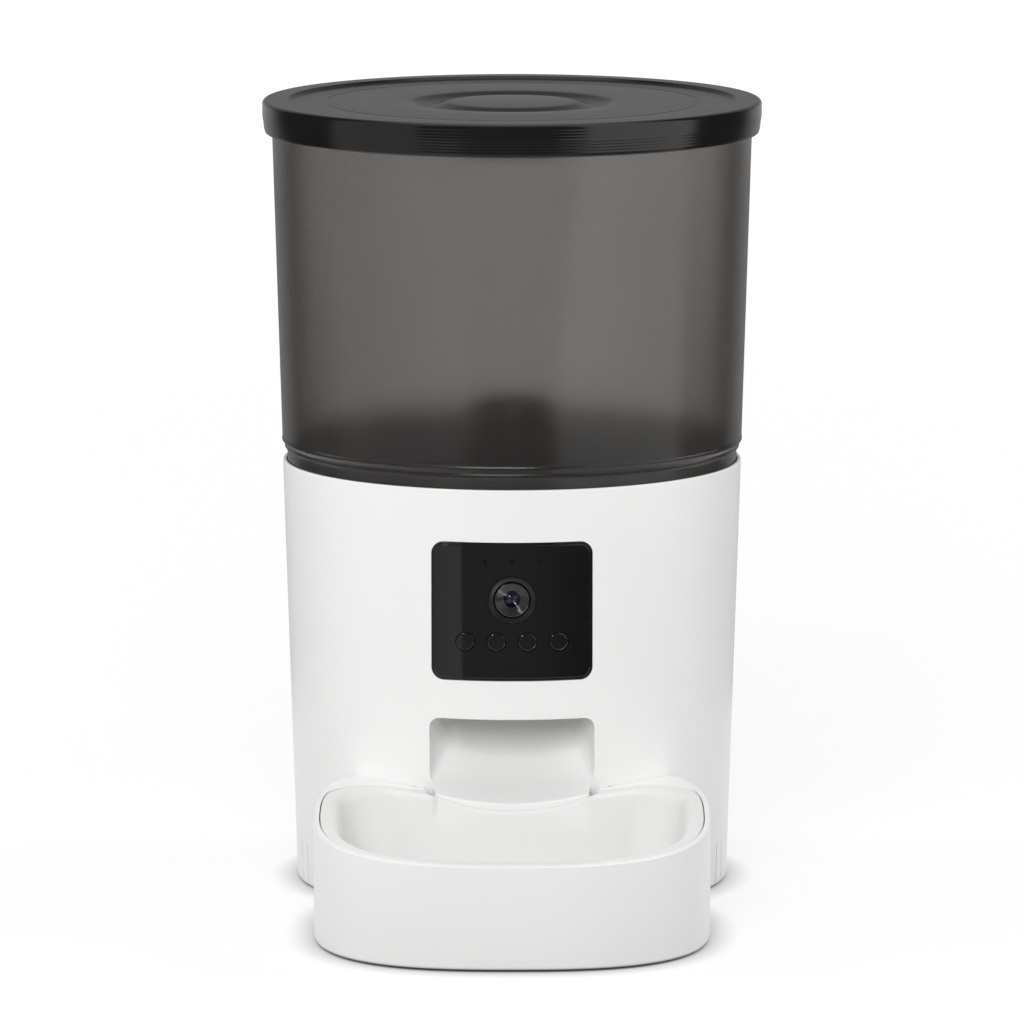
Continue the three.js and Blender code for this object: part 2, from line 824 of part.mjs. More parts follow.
function makeHopper() {
  return turned([
    [hopperNeckInner, hopperBottom],
    [hopperNeckRadius, hopperBottom],
    [hopperNeckRadius, hopperStepLow],
    [hopperStepRadius, hopperStepHigh],
    [hopperTopRadius, hopperTopHeight],
    [hopperTopRadius - hopperWall, hopperTopHeight],
    [hopperStepRadius - hopperWall, hopperStepHigh],
    [hopperNeckInner, hopperStepLow],
  ]);
}

// Lid: raised border, flat field, round finger groove, plug ring with its seal flange

function grooveArc(innerRadius, outerRadius, level, depth, steps) {
  const middle = (innerRadius + outerRadius) / 2;
  const half = (outerRadius - innerRadius) / 2;
  const points = [];
  for (let i = 0; i <= steps; i += 1) {
    const angle = Math.PI * i / steps;
    points.push([middle - half * Math.cos(angle), level - depth * Math.sin(angle)]);
  }
  return points;
}

function makeLid() {
  const borderInner = lidRadius - lidBorderWidth;
  const sideFoot = lidLand - lidSkirtDrop;
  const top = grooveArc(grooveInnerRadius, grooveOuterRadius, lidField, grooveDepth, grooveSteps);
  const under = grooveArc(
    grooveInnerRadius - lidSkinThick, grooveOuterRadius + lidSkinThick,
    lidUnderside, grooveDepth, grooveUnderSteps,
  );
  return turned([
    [0, lidField],
    ...top,
    [borderInner, lidField],
    [borderInner + lidBorderChamfer, lidTop],
    [lidRadius - lidEdgeRound, lidTop],
    [lidRadius - lidEdgeRound * filletShare, lidTop - lidEdgeRound * filletShare],
    [lidRadius, lidTop - lidEdgeRound],
    [lidRadius, lidTop - lidEdgeRound - lidSideHeight],
    [lidFootRadius, sideFoot + lidSkirtRound],
    [lidFootRadius - lidSkirtRound * filletShare, sideFoot + lidSkirtRound * filletShare],
    [lidFootRadius - lidSkirtRound, sideFoot],
    [lidSkirtInner, sideFoot],
    [lidSkirtInner, lidLand],
    [plugRadius, lidLand],
    [plugRadius, sideFoot + plugFlangeThick],
    [plugRadius + plugFlangeReach, sideFoot + plugFlangeThick],
    [plugRadius + plugFlangeReach, sideFoot],
    [plugRadius - plugWall, sideFoot],
    [plugRadius - plugWall, lidUnderside],
    ...under.reverse(),
    [0, lidUnderside],
  ]);
}

function makeLidSeal() {
  const bottom = lidLand - lidSkirtDrop + plugFlangeThick + seatGap;
  const inner = plugRadius + seatGap;
  return turned([
    [inner, bottom],
    [inner + sealWall, bottom],
    [inner + sealWall, bottom + sealHeight],
    [inner, bottom + sealHeight],
  ]);
}

const desiccantTop = lidUnderside - seatGap;
const desiccantBottom = desiccantTop - desiccantDepth;

function makeDesiccantBox() {
  return turned([
    [desiccantRadius - desiccantWall, desiccantBottom],
    [desiccantRadius, desiccantBottom],
    [desiccantRadius, desiccantTop],
    [0, desiccantTop],
    [0, desiccantTop - desiccantWall],
    [desiccantRadius - desiccantWall, desiccantTop - desiccantWall],
  ].reverse(), middleSides);
}

function makeDesiccantCover() {
  const top = desiccantBottom - seatGap;
  const spigot = desiccantRadius - desiccantWall - seatGap;
  let cover = turned([
    [0, top - desiccantCoverThick],
    [desiccantRadius, top - desiccantCoverThick],
    [desiccantRadius, top],
    [spigot, top],
    [spigot, top + desiccantCoverThick],
    [spigot - desiccantWall, top + desiccantCoverThick],
    [spigot - desiccantWall, top],
    [0, top],
  ], middleSides);
  for (let i = 0; i < desiccantSlotCount; i += 1) {
    const x = (i - (desiccantSlotCount - 1) / 2) * desiccantSlotPitch;
    cover = cover.subtract(block(
      x - desiccantSlotWidth / 2, x + desiccantSlotWidth / 2,
      -desiccantSlotLength / 2, desiccantSlotLength / 2,
      top - desiccantCoverThick - cutOverrun, top + cutOverrun,
    ));
  }
  return cover;
}

// Funnel: a flange on the body's ledge, a spigot inside the hopper's neck, a cone to the throat

function makeFunnel() {
  const spigotInner = funnelSpigotRadius - funnelSpigotWall;
  const top = funnelFlangeTop + funnelSpigotHeight;
  const coneTop = top - funnelLipDrop;
  const throat = wellRadius + seatGap;
  const throatTop = throatBottom + funnelThroatLift;
  const coneShare = (coneTop - throatTop) / (spigotInner - throat);
  return turned([
    [throat, throatBottom],
    [throat + funnelThroatReach, throatBottom],
    [throat + funnelThroatReach, throatTop + coneShare * funnelThroatReach - funnelSkin],
    [spigotInner, coneTop - funnelSkin],
    [spigotInner, funnelFlangeBottom],
    [bodyRimInner - 2 * seatGap, funnelFlangeBottom],
    [bodyRimInner - 2 * seatGap, funnelFlangeTop],
    [funnelSpigotRadius, funnelFlangeTop],
    [funnelSpigotRadius, top],
    [spigotInner, top],
    [spigotInner, coneTop],
    [throat, throatTop],
  ], middleSides);
}

// Rotor well with the outlet in its floor, and the guard over the outlet

function makeRotorWell() {
  const bore = shaftRadius + seatGap;
  const flangeBottom = wellTop - wellFloorThick;
  const well = turned([
    [bore, wellBottom],
    [wellFloorRadius, wellBottom],
    [wellFloorRadius, wellFloorTop],
    [wellRadius + wellWall, wellFloorTop],
    [wellRadius + wellWall, flangeBottom],
    [wellRadius + wellFlangeReach, flangeBottom],
    [wellRadius + wellFlangeReach, wellTop],
    [wellRadius, wellTop],
    [wellRadius, wellFloorTop],
    [bore, wellFloorTop],
  ], middleSides);
  const outlet = frontSector(outletInnerRadius, outletOuterRadius, outletHalfAngle);
  return well.subtract(raised(outlet, wellBottom - cutOverrun, wellFloorTop + cutOverrun));
}

function makeOutletGuard() {
  const ring = turned([
    [wellRadius, guardBottom],
    [wellRadius + wellFlangeReach - seatGap, guardBottom],
    [wellRadius + wellFlangeReach - seatGap, guardTop],
    [wellRadius, guardTop],
  ], middleSides);
  const cover = frontSector(guardInnerRadius, wellRadius + wellFlangeReach / 2, guardHalfAngle);
  return ring.add(raised(cover, guardBottom, guardTop));
}

// Rotor of six pockets, with the agitator on its hub

function shaftCutter(radius, bottom, top) {
  const round = disc(radius, bottom, top, smallSides);
  const flat = shaftRadius - shaftFlatDepth + (radius - shaftRadius);
  const reach = 2 * radius;
  return round.subtract(block(-reach, reach, flat, flat + reach, bottom - radius, top + radius));
}

function makeRotor() {
  let rotor = turned([
    [0, rotorBottom],
    [rotorHubRadius, rotorBottom],
    [rotorHubRadius, rotorHubTop],
    [rotorHubPlugRadius, rotorHubTop],
    [rotorHubPlugRadius, rotorHubTop + rotorHubPlugHeight],
    [0, rotorHubTop + rotorHubPlugHeight],
  ], middleSides);
  const tip = wellRadius - rotorRunningGap;
  for (let i = 0; i < rotorBladeCount; i += 1) {
    const blade = new THREE.BoxGeometry(tip - rotorHubPlugRadius, rotorBladeThick, rotorBladeHeight);
    blade.translate((tip + rotorHubPlugRadius) / 2, 0, rotorBottom + rotorBladeHeight / 2);
    rotor = rotor.add(solid(blade.rotateZ(2 * Math.PI * i / rotorBladeCount)));
  }
  return rotor.subtract(shaftCutter(shaftRadius + seatGap, rotorBottom - cutOverrun, shaftTop + seatGap));
}

function makeAgitator() {
  const bottom = rotorHubTop + seatGap;
  const top = bottom + agitatorHeight;
  const waist = bottom + agitatorWaistHeight;
  const under = rotorHubTop + rotorHubPlugHeight + seatGap;
  const plug = rotorHubPlugRadius + seatGap;
  return turned([
    [0, top],
    [agitatorTopRadius - agitatorTopRound, top],
    [agitatorTopRadius - agitatorTopRound * filletShare, top - agitatorTopRound * filletShare],
    [agitatorTopRadius, top - agitatorTopRound],
    [agitatorWaistRadius, waist],
    [agitatorFootRadius, bottom],
    [plug, bottom],
    [plug, under],
    [agitatorTopRadius - agitatorTopRound - agitatorWall, under],
    [agitatorTopRadius - agitatorTopRound - agitatorWall, top - agitatorTopRound],
    [0, top - agitatorTopRound],
  ], middleSides);
}

// Drive: shaft, drive gear, pinion, gear case, cover and geared motor

function gearShape(teeth, firstAngle) {
  const pitchRadius = gearModule * teeth / 2;
  const tip = pitchRadius + gearAddendumShare * gearModule;
  const root = pitchRadius - gearDedendumShare * gearModule;
  const step = 2 * Math.PI / teeth;
  const points = [];
  for (let i = 0; i < teeth; i += 1) {
    const middle = firstAngle + i * step;
    const corners = [
      [root, -toothRootShare],
      [tip, -toothTipShare],
      [tip, toothTipShare],
      [root, toothRootShare],
    ];
    for (const [radius, share] of corners) {
      const angle = middle + share * step / 2;
      points.push([radius * Math.cos(angle), radius * Math.sin(angle)]);
    }
  }
  return shapeOf(points);
}

function makeDriveShaft() {
  return shaftCutter(shaftRadius, shaftBottom, shaftTop);
}

function makeDriveGear() {
  const gear = raised(gearShape(driveTeeth, Math.PI / 2), gearBottom, gearBottom + gearThick);
  const hub = disc(driveHubRadius, gearBottom, gearBottom + driveHubThick, smallSides);
  const bore = shaftCutter(shaftRadius + seatGap, gearBottom - cutOverrun, gearCoverBottom);
  return gear.add(hub).subtract(bore);
}

function makeMotorPinion() {
  const seat = motorTop - motorShaftSeat + seatGap;
  const shape = gearShape(pinionTeeth, -Math.PI / 2 + Math.PI / pinionTeeth);
  const teeth = raised(shape, gearBottom, gearBottom + gearThick);
  const spindle = disc(motorShaftRadius, seat, gearBottom + driveHubThick, tinySides);
  return teeth.add(spindle);
}

function gearCaseOutline(inset) {
  const middle = (gearCaseBack - gearCaseFront) / 2;
  const length = gearCaseBack + gearCaseFront - 2 * inset;
  return roundedRectangle(0, middle, 2 * (gearCaseHalfWidth - inset), length, gearCaseRound - inset);
}

function makeGearCase() {
  const outer = raised(gearCaseOutline(0), gearCaseBottom, gearCaseTop);
  const inner = raised(gearCaseOutline(gearCaseWall), gearCaseFloor, gearCaseTop + cutOverrun);
  const nose = discAt(
    0, gearCentres, motorShaftRadius + motorNosePlay,
    gearCaseBottom - cutOverrun, gearCaseFloor + cutOverrun, tinySides,
  );
  return outer.subtract(inner).subtract(nose);
}

function makeGearCaseCover() {
  const plate = raised(gearCaseOutline(0), gearCoverBottom, gearCoverTop);
  const bore = disc(
    shaftRadius + seatGap, gearCoverBottom - cutOverrun, gearCoverTop + cutOverrun, smallSides,
  );
  return plate.subtract(bore);
}

function makeGearMotor() {
  const headBottom = motorTop - motorHeadLength;
  const canBottom = headBottom - motorCanLength;
  const bore = motorShaftRadius + seatGap;
  return turnedAt(0, gearCentres, [
    [0, canBottom - motorBossLength],
    [motorBossRadius, canBottom - motorBossLength],
    [motorBossRadius, canBottom],
    [motorCanRadius, canBottom],
    [motorCanRadius, headBottom],
    [motorRadius, headBottom],
    [motorRadius, motorTop],
    [bore, motorTop],
    [bore, motorTop - motorShaftSeat],
    [0, motorTop - motorShaftSeat],
  ]);
}

// Chute: a duct under the outlet, a curved ramp, and the spout that reaches over the bowl

function chuteSection() {
  const points = [];
  const steps = chuteGridAlong;
  const backOuter = chuteBackReach - chuteSkin;
  const lipInner = chuteLipReach - chuteLipUnderDepth;
  for (let i = 0; i <= steps; i += 1) {
    const reach = lipInner + (chuteBackReach - lipInner) * i / steps;
    points.push([-reach, rampUnderside(-reach)]);
  }
  points.push([-backOuter, rampUnderside(-chuteBackReach)]);
  points.push([-backOuter, deckTop]);
  points.push([-chuteFrontReach - chuteSkin, deckTop]);
  points.push([-chuteKneeReach - chuteSkin, chuteKneeHeight]);
  const wall = bodyInnerAt(mouthTop + chuteRoofRise) - seatGap;
  points.push([-wall, mouthTop + chuteRoofRise + chuteSkin]);
  points.push([-wall, mouthTop]);
  points.push([-chuteLipReach - chuteSkin, mouthTop]);
  points.push([-chuteLipReach - chuteSkin, chuteLipHeight - chuteLipThick]);
  points.push([-(chuteLipReach - chuteLipUnderDepth / 2), chuteLipHeight - chuteLipThick]);
  return shapeOf(points);
}

function chutePlan() {
  const outer = chuteHalfWidth + chuteSkin;
  const wallHalf = chuteMouthHalfWidth + chuteSkin;
  const inner = bodyInnerAt(chuteLipHeight) - 2 * seatGap;
  const wallEnd = Math.sqrt(inner * inner - wallHalf * wallHalf);
  const skin = bodyRadiusAt(chuteLipHeight);
  const spoutHalf = chuteMouthHalfWidth;
  const spoutStart = Math.sqrt(skin * skin - spoutHalf * spoutHalf);
  const arcCentre = chuteLipReach - chuteLipArcRadius;
  const halfAngle = Math.asin(chuteLipHalfWidth / chuteLipArcRadius);
  const right = [
    [outer, -(chuteBackReach - chuteSkin)],
    [outer, -chuteFlareReach],
    [wallHalf, -wallEnd],
    [spoutHalf, -wallEnd],
    [spoutHalf, -spoutStart],
  ];
  const steps = outlineBackSteps;
  for (let i = 0; i <= steps / 2; i += 1) {
    const angle = halfAngle * (1 - i / (steps / 2));
    right.push([chuteLipArcRadius * Math.sin(angle), -arcCentre - chuteLipArcRadius * Math.cos(angle)]);
  }
  const left = right.slice(0, -1).reverse().map(([x, y]) => [-x, y]);
  return shapeOf([...right, ...left]);
}

function ductSpace() {
  const roofEnd = mouthTop + chuteRoofRise;
  const far = chuteLipReach + cutOverrun;
  const high = deckTop + cutOverrun;
  return shapeOf([
    [-chuteBackReach, 0],
    [-chuteBackReach, high],
    [-chuteFrontReach, high],
    [-chuteFrontReach, deckTop],
    [-chuteKneeReach, chuteKneeHeight],
    [-(bodyInnerAt(roofEnd) - seatGap), roofEnd],
    [-far, roofEnd],
    [-far, 0],
  ]);
}

function makeFoodChute() {
  const wide = bodyRimRadius;
  const low = chuteLipHeight - chuteLipThick - cutOverrun;
  const outer = drawnThroughX(chuteSection(), -wide, wide).intersect(raised(chutePlan(), low, deckTop));
  const mouthReach = -chuteMouthWallEnd();
  const inside = overRamp(chuteBackReach, mouthReach + seatGap, chuteHalfWidthAt);
  const outside = overRamp(mouthReach, chuteLipReach + cutOverrun, () => chuteMouthHalfWidth + seatGap);
  const space = drawnThroughX(ductSpace(), -wide - cutOverrun, wide + cutOverrun);
  const roofTop = mouthTop + chuteRoofRise + chuteSkin;
  const shell = bodyLayer(bodyWall + seatGap, cutOverrun, mouthTop, roofTop + cutOverrun);
  return outer.subtract(inside.add(outside).intersect(space)).subtract(shell);
}

// Where the duct's side walls stop, behind the body shell
function chuteMouthWallEnd() {
  const wallHalf = chuteMouthHalfWidth + chuteSkin;
  const inner = bodyInnerAt(chuteLipHeight) - 2 * seatGap;
  return -Math.sqrt(inner * inner - wallHalf * wallHalf);
}

// Control panel: follows the body's curve, with a flange behind the shell and posts for the board

function makeControlPanel() {
  const bottom = panelBottom - panelFlangeReach - cutOverrun;
  const top = panelTop + panelFlangeReach + cutOverrun;
  const far = bodyRimRadius + cutOverrun;
  const near = bodyFootRadius / 2;
  const face = drawnThroughY(
    roundedRectangle(0, panelMiddle, panelWidth, panelHeight, panelCorner), -far, -near,
  );
  const flange = drawnThroughY(roundedRectangle(
    0, panelMiddle, panelWidth + 2 * panelFlangeReach, panelHeight + 2 * panelFlangeReach,
    panelCorner + panelFlangeReach,
  ), -far, -near);
  let panel = bodyLayer(panelBackOffset, panelProud, bottom, top).intersect(face);
  panel = panel.add(bodyLayer(panelBackOffset, -bodyWall - seatGap, bottom, top).intersect(flange));
  const postX = panelWidth / 2 - panelPostInset;
  const postZ = panelHeight / 2 - panelPostInset;
  for (const [sideX, sideZ] of [[-1, -1], [1, -1], [-1, 1], [1, 1]]) {
    const z = panelMiddle + sideZ * postZ;
    const skin = bodyRadiusAt(z) - panelBackOffset + panelFlangeThick / 2;
    const start = -Math.sqrt(skin * skin - (postX + panelPostRadius) * (postX + panelPostRadius));
    const end = frontBoardFace - seatGap;
    panel = panel.add(rodAlongY(sideX * postX, z, panelPostRadius, start, end, tinySides));
  }
  panel = panel.subtract(rodAlongY(0, lensHeight, ringRadius + seatGap, -far, -near, middleSides));
  for (const place of [-1, 0, 1]) {
    const x = place * pinholePitch;
    panel = panel.subtract(rodAlongY(x, pinholeHeight, pinholeRadius, -far, -near, tinySides));
  }
  for (let i = 0; i < buttonCount; i += 1) {
    const hole = buttonRadius + seatGap;
    panel = panel.subtract(rodAlongY(buttonX(i), buttonHeight, hole, -far, -near, smallSides));
  }
  return panel;
}

function buttonX(index) {
  return (index - (buttonCount - 1) / 2) * buttonPitch;
}

function makeButton(index) {
  const x = buttonX(index);
  const collar = buttonRadius + buttonCollarReach;
  const back = bodyRadiusAt(buttonHeight - collar) - panelBackOffset;
  const reach = Math.abs(x) + collar;
  const collarFront = -Math.sqrt(back * back - reach * reach) + seatGap;
  const collarBack = collarFront + buttonCollarThick;
  const plunger = frontBoardFace - switchDepth - switchPlungerLength;
  const stemEnd = plunger - buttonTravel - buttonSwitchPlay;
  const front = -bodyRimRadius - cutOverrun;
  const head = rodAlongY(x, buttonHeight, buttonRadius, front, collarBack, smallSides);
  const low = buttonHeight - 2 * buttonRadius;
  const high = buttonHeight + 2 * buttonRadius;
  const cap = head.intersect(bodyCore(panelProud + buttonProud, low, high));
  return cap
    .add(rodAlongY(x, buttonHeight, collar, collarFront, collarBack, smallSides))
    .add(rodAlongY(x, buttonHeight, buttonStemRadius, collarFront, stemEnd, tinySides));
}

// Camera: ring in the panel, stepped barrel, domed lens, and the module on the front board

function makeCameraRing() {
  const front = lensFace - ringProud;
  const back = lensFace + ringDepth;
  return turnedAlongY(0, lensHeight, [
    [ringBore, front + ringProud],
    [ringBore + ringProud, front],
    [ringRadius - ringProud / 2, front],
    [ringRadius, front + ringProud / 2],
    [ringRadius, back],
    [ringBore, back],
  ], middleSides);
}

function makeLensBarrel() {
  const front = lensFace + barrelSetBack;
  const coneEnd = front + barrelConeDepth;
  return turnedAlongY(0, lensHeight, [
    [barrelMouthRadius, front],
    [barrelRadius, front],
    [barrelRadius, front + barrelLength - cameraDepthGap],
    [0, front + barrelLength - cameraDepthGap],
    [0, coneEnd + barrelBoreDepth],
    [barrelThroatRadius, coneEnd + barrelBoreDepth],
    [barrelThroatRadius, coneEnd],
  ].reverse(), middleSides);
}

function makeCameraLens() {
  const coneEnd = lensFace + barrelSetBack + barrelConeDepth;
  const back = coneEnd + barrelBoreDepth - seatGap;
  const edge = back - lensThick + lensDome;
  return turnedAlongY(0, lensHeight, [
    [0, back],
    [lensRadius, back],
    [lensRadius, edge],
    [lensRadius * Math.cos(Math.PI / 6), edge - lensDome / 2],
    [lensRadius / 2, edge - lensDome * Math.cos(Math.PI / 6)],
    [0, edge - lensDome],
  ], smallSides);
}

function makeCameraModule() {
  return block(
    -cameraHalfWidth, cameraHalfWidth,
    cameraFront, frontBoardFace - seatGap,
    lensHeight - cameraHalfWidth, lensHeight + cameraHalfWidth,
  );
}

function makeFrontBoard() {
  const low = panelBottom + frontBoardInset;
  const high = panelTop - frontBoardInset;
  let board = block(
    -frontBoardHalfWidth, frontBoardHalfWidth, frontBoardFace, frontBoardFace + boardThick, low, high,
  );
  for (let i = 0; i < buttonCount; i += 1) {
    const x = buttonX(i);
    const half = switchSide / 2;
    const face = frontBoardFace - switchDepth;
    board = board.add(block(
      x - half, x + half, face, frontBoardFace + boardThick / 2, buttonHeight - half, buttonHeight + half,
    ));
    board = board.add(rodAlongY(
      x, buttonHeight, switchPlungerRadius, face - switchPlungerLength, frontBoardFace, tinySides,
    ));
  }
  return board;
}

// Inner frame: a deck on four legs, which carries the well, the duct and the gear case

function makeInnerFrame() {
  const radius = bodyInnerAt(deckBottom) - deckPlay;
  const turn = Math.asin(deckFront / radius);
  const points = [];
  for (let i = 0; i <= middleSides; i += 1) {
    const angle = -turn + (Math.PI + 2 * turn) * i / middleSides;
    points.push([radius * Math.cos(angle), radius * Math.sin(angle)]);
  }
  let frame = raised(shapeOf(points), deckBottom, deckTop);
  const ductHalf = chuteHalfWidth + chuteSkin + seatGap;
  frame = frame.subtract(block(
    -ductHalf, ductHalf,
    -(chuteFrontReach + chuteSkin + chuteKneePlay()), -(chuteBackReach - chuteSkin - seatGap),
    deckBottom - cutOverrun, deckTop + cutOverrun,
  ));
  frame = frame.subtract(disc(
    shaftRadius + shaftHolePlay, deckBottom - cutOverrun, deckTop + cutOverrun, smallSides,
  ));
  for (const [sideX, sideY] of [[-1, -1], [1, -1], [-1, 1], [1, 1]]) {
    const x = sideX * legX;
    const y = sideY * legY;
    frame = frame.add(block(
      x - legSide / 2, x + legSide / 2, y - legSide / 2, y + legSide / 2, legBottom, deckTop - deckThick / 2,
    ));
    frame = frame.subtract(discAt(
      x, y, screwRadius + seatGap,
      legBottom - cutOverrun, basePlateLift + screwHeadDepth + screwLength, tinySides,
    ));
  }
  return frame;
}

// How far the duct's sloping front wall moves forward within the deck's thickness
function chuteKneePlay() {
  const share = (chuteKneeReach - chuteFrontReach) / (deckTop - chuteKneeHeight);
  return share * deckThick + seatGap;
}

// Base plate with its rim, bosses, foot pockets, door opening, speaker holes and socket notch

function makeBasePlate() {
  const rimTop = basePlateTop + baseRimHeight;
  let plate = turned([
    [0, basePlateLift],
    [basePlateRadius, basePlateLift],
    [basePlateRadius, rimTop],
    [basePlateRadius - baseRimWall, rimTop],
    [basePlateRadius - baseRimWall, basePlateTop],
    [0, basePlateTop],
  ], middleSides);
  const far = basePlateLift - cutOverrun;
  for (const [sideX, sideY] of [[-1, -1], [1, -1], [-1, 1], [1, 1]]) {
    const legPlace = [sideX * legX, sideY * legY];
    plate = plate.add(discAt(...legPlace, baseBossRadius, basePlateTop - basePlateThick / 2, baseBossTop));
    const headTop = basePlateLift + screwHeadDepth;
    plate = plate.subtract(discAt(...legPlace, screwHeadRadius + seatGap, far, headTop));
    const shankTop = baseBossTop + cutOverrun;
    plate = plate.subtract(discAt(...legPlace, screwRadius + seatGap, far, shankTop, tinySides));
    const footPlace = [sideX * footX, sideY * footY];
    plate = plate.subtract(discAt(...footPlace, footRadius + seatGap, far, basePlateLift + footPocketDepth));
  }
  const halfX = bayHalfWidth;
  const halfY = bayHalfLength;
  const doorTop = basePlateLift + doorThick + seatGap;
  plate = plate.subtract(block(-halfX, halfX, bayY - halfY, bayY + halfY, far, basePlateTop + cutOverrun));
  plate = plate.subtract(block(
    -halfX - doorLedge, halfX + doorLedge, bayY - halfY - doorLedge, bayY + halfY + doorLedge, far, doorTop,
  ));
  for (let i = 0; i < speakerHoleCount; i += 1) {
    const angle = 2 * Math.PI * i / speakerHoleCount;
    plate = plate.subtract(discAt(
      speakerHoleRing * Math.cos(angle), -speakerY + speakerHoleRing * Math.sin(angle),
      speakerHoleRadius, far, basePlateTop + cutOverrun, tinySides / 2,
    ));
  }
  const notchHalf = socketHalfWidth + seatGap;
  return plate.subtract(block(
    -notchHalf, notchHalf,
    basePlateRadius / 2, basePlateRadius + cutOverrun, basePlateTop, rimTop + cutOverrun,
  ));
}

function makeFoot(x, y) {
  return turnedAt(x, y, [
    [0, 0],
    [footRadius - footChamfer, 0],
    [footRadius, footChamfer],
    [footRadius, footHeight],
    [0, footHeight],
  ]);
}

function makeScrew(x, y) {
  const headTop = basePlateLift + screwHeadDepth - seatGap;
  const headBottom = headTop - screwHeadThick;
  const screw = turnedAt(x, y, [
    [0, headBottom],
    [screwHeadRadius, headBottom],
    [screwHeadRadius, headTop],
    [screwRadius, headTop],
    [screwRadius, headTop + screwLength],
    [0, headTop + screwLength],
  ], tinySides);
  const half = screwSlotWidth / 2;
  const reach = screwHeadRadius * 2 / 3;
  const depth = headBottom + screwSlotDepth;
  const low = headBottom - screwHeadThick;
  return screw
    .subtract(block(x - reach, x + reach, y - half, y + half, low, depth))
    .subtract(block(x - half, x + half, y - reach, y + reach, low, depth));
}

// Battery box, contacts and door

function makeBatteryBox() {
  const outerX = bayHalfWidth + bayWall;
  const outerY = bayHalfLength + bayWall;
  let box = block(-outerX, outerX, bayY - outerY, bayY + outerY, bayBottom, bayTop);
  box = box.subtract(block(
    -bayHalfWidth, bayHalfWidth, bayY - bayHalfLength, bayY + bayHalfLength,
    bayBottom - cutOverrun, bayTop - bayWall,
  ));
  for (const [sideX, sideY] of [[-1, -1], [1, -1], [-1, 1], [1, 1]]) {
    const x = sideX * (mainBoardHalfWidth - 2 * standoffRadius);
    const y = bayY + sideY * (mainBoardHalfDepth - 2 * standoffRadius);
    box = box.add(discAt(x, y, standoffRadius, bayTop - bayWall / 2, bayTop + standoffHeight, tinySides));
  }
  return box;
}

function makeBatteryContact(side) {
  const wall = bayY + side * (bayHalfLength - seatGap);
  const inner = wall - side * contactThick;
  const middle = bayBottom + cellRadius + cellPlay;
  const half = contactBumpRadius * 2;
  let strip = block(
    -bayHalfWidth + cellRadius / 2, bayHalfWidth - cellRadius / 2,
    Math.min(wall, inner), Math.max(wall, inner), middle - half / 2, middle + half / 2,
  );
  for (let i = 0; i < cellCount; i += 1) {
    const x = (i - (cellCount - 1) / 2) * 2 * (cellRadius + cellPlay);
    const tip = wall - side * (contactDepth - seatGap);
    const profile = [[0, wall], [contactBumpRadius, wall], [contactBumpRadius / 2, tip], [0, tip]];
    strip = strip.add(turnedAlongY(x, middle, profile, tinySides));
  }
  return strip;
}

function makeBatteryDoor() {
  const halfX = bayHalfWidth + doorLedge - seatGap;
  const halfY = bayHalfLength + doorLedge - seatGap;
  let door = block(-halfX, halfX, bayY - halfY, bayY + halfY, basePlateLift, basePlateLift + doorThick);
  for (let i = 0; i < doorGripCount; i += 1) {
    const y = bayY - halfY + doorGripPitch * (i + 1);
    door = door.subtract(block(
      -doorGripWidth, doorGripWidth, y - doorGripPitch / 4, y + doorGripPitch / 4,
      basePlateLift - cutOverrun, basePlateLift + doorGripDepth,
    ));
  }
  return door;
}

// Main board with its chips and plug blocks

function makeMainBoard() {
  const bottom = bayTop + standoffHeight + seatGap;
  const top = bottom + boardThick;
  let board = block(
    -mainBoardHalfWidth, mainBoardHalfWidth,
    bayY - mainBoardHalfDepth, bayY + mainBoardHalfDepth, bottom, top,
  );
  for (const side of [-1, 1]) {
    const x = side * mainBoardHalfWidth / 3;
    board = board.add(block(
      x - chipSide / 2, x + chipSide / 2, bayY - chipSide / 2, bayY + chipSide / 2,
      top - boardThick / 2, top + chipHeight,
    ));
    const edge = side * (mainBoardHalfDepth - plugBlockHeight);
    board = board.add(block(
      -plugBlockLength / 2, plugBlockLength / 2,
      bayY + edge - plugBlockHeight / 2, bayY + edge + plugBlockHeight / 2,
      top - boardThick / 2, top + plugBlockHeight,
    ));
  }
  return board;
}

// Speaker over the base plate's holes, and the power socket at the back

function makeSpeaker() {
  const bottom = basePlateTop + seatGap;
  const top = bottom + speakerHeight;
  return turnedAt(0, -speakerY, [
    [speakerMagnetRadius / 2, bottom + speakerFlangeThick],
    [speakerRadius - speakerFlangeThick, bottom],
    [speakerRadius, bottom],
    [speakerRadius, bottom + speakerFlangeThick],
    [speakerMagnetRadius, top - speakerMagnetThick],
    [speakerMagnetRadius, top],
    [0, top],
    [0, bottom + 2 * speakerFlangeThick],
  ].reverse());
}

function makePowerSocket() {
  const back = bodyInnerAt(bayBottom) - 2 * seatGap;
  const face = bodyRadiusAt(socketHeight) - seatGap;
  const shell = block(-socketHalfWidth, socketHalfWidth, back - socketDepth, back, bayBottom, socketTop);
  const barrel = rodAlongY(0, socketHeight, socketBarrelRadius, back - socketDepth / 2, face, tinySides);
  const bore = rodAlongY(
    0, socketHeight, socketBoreRadius, face - socketBoreDepth, face + cutOverrun, tinySides,
  );
  const pin = rodAlongY(
    0, socketHeight, socketPinRadius,
    face - socketBoreDepth - socketPinRadius, face - socketPinRadius, tinySides / 2,
  );
  return shell.add(barrel).subtract(bore).add(pin);
}

// Bowl tray: hugs the body, open well for the bowl, notch for the spout, two hooks

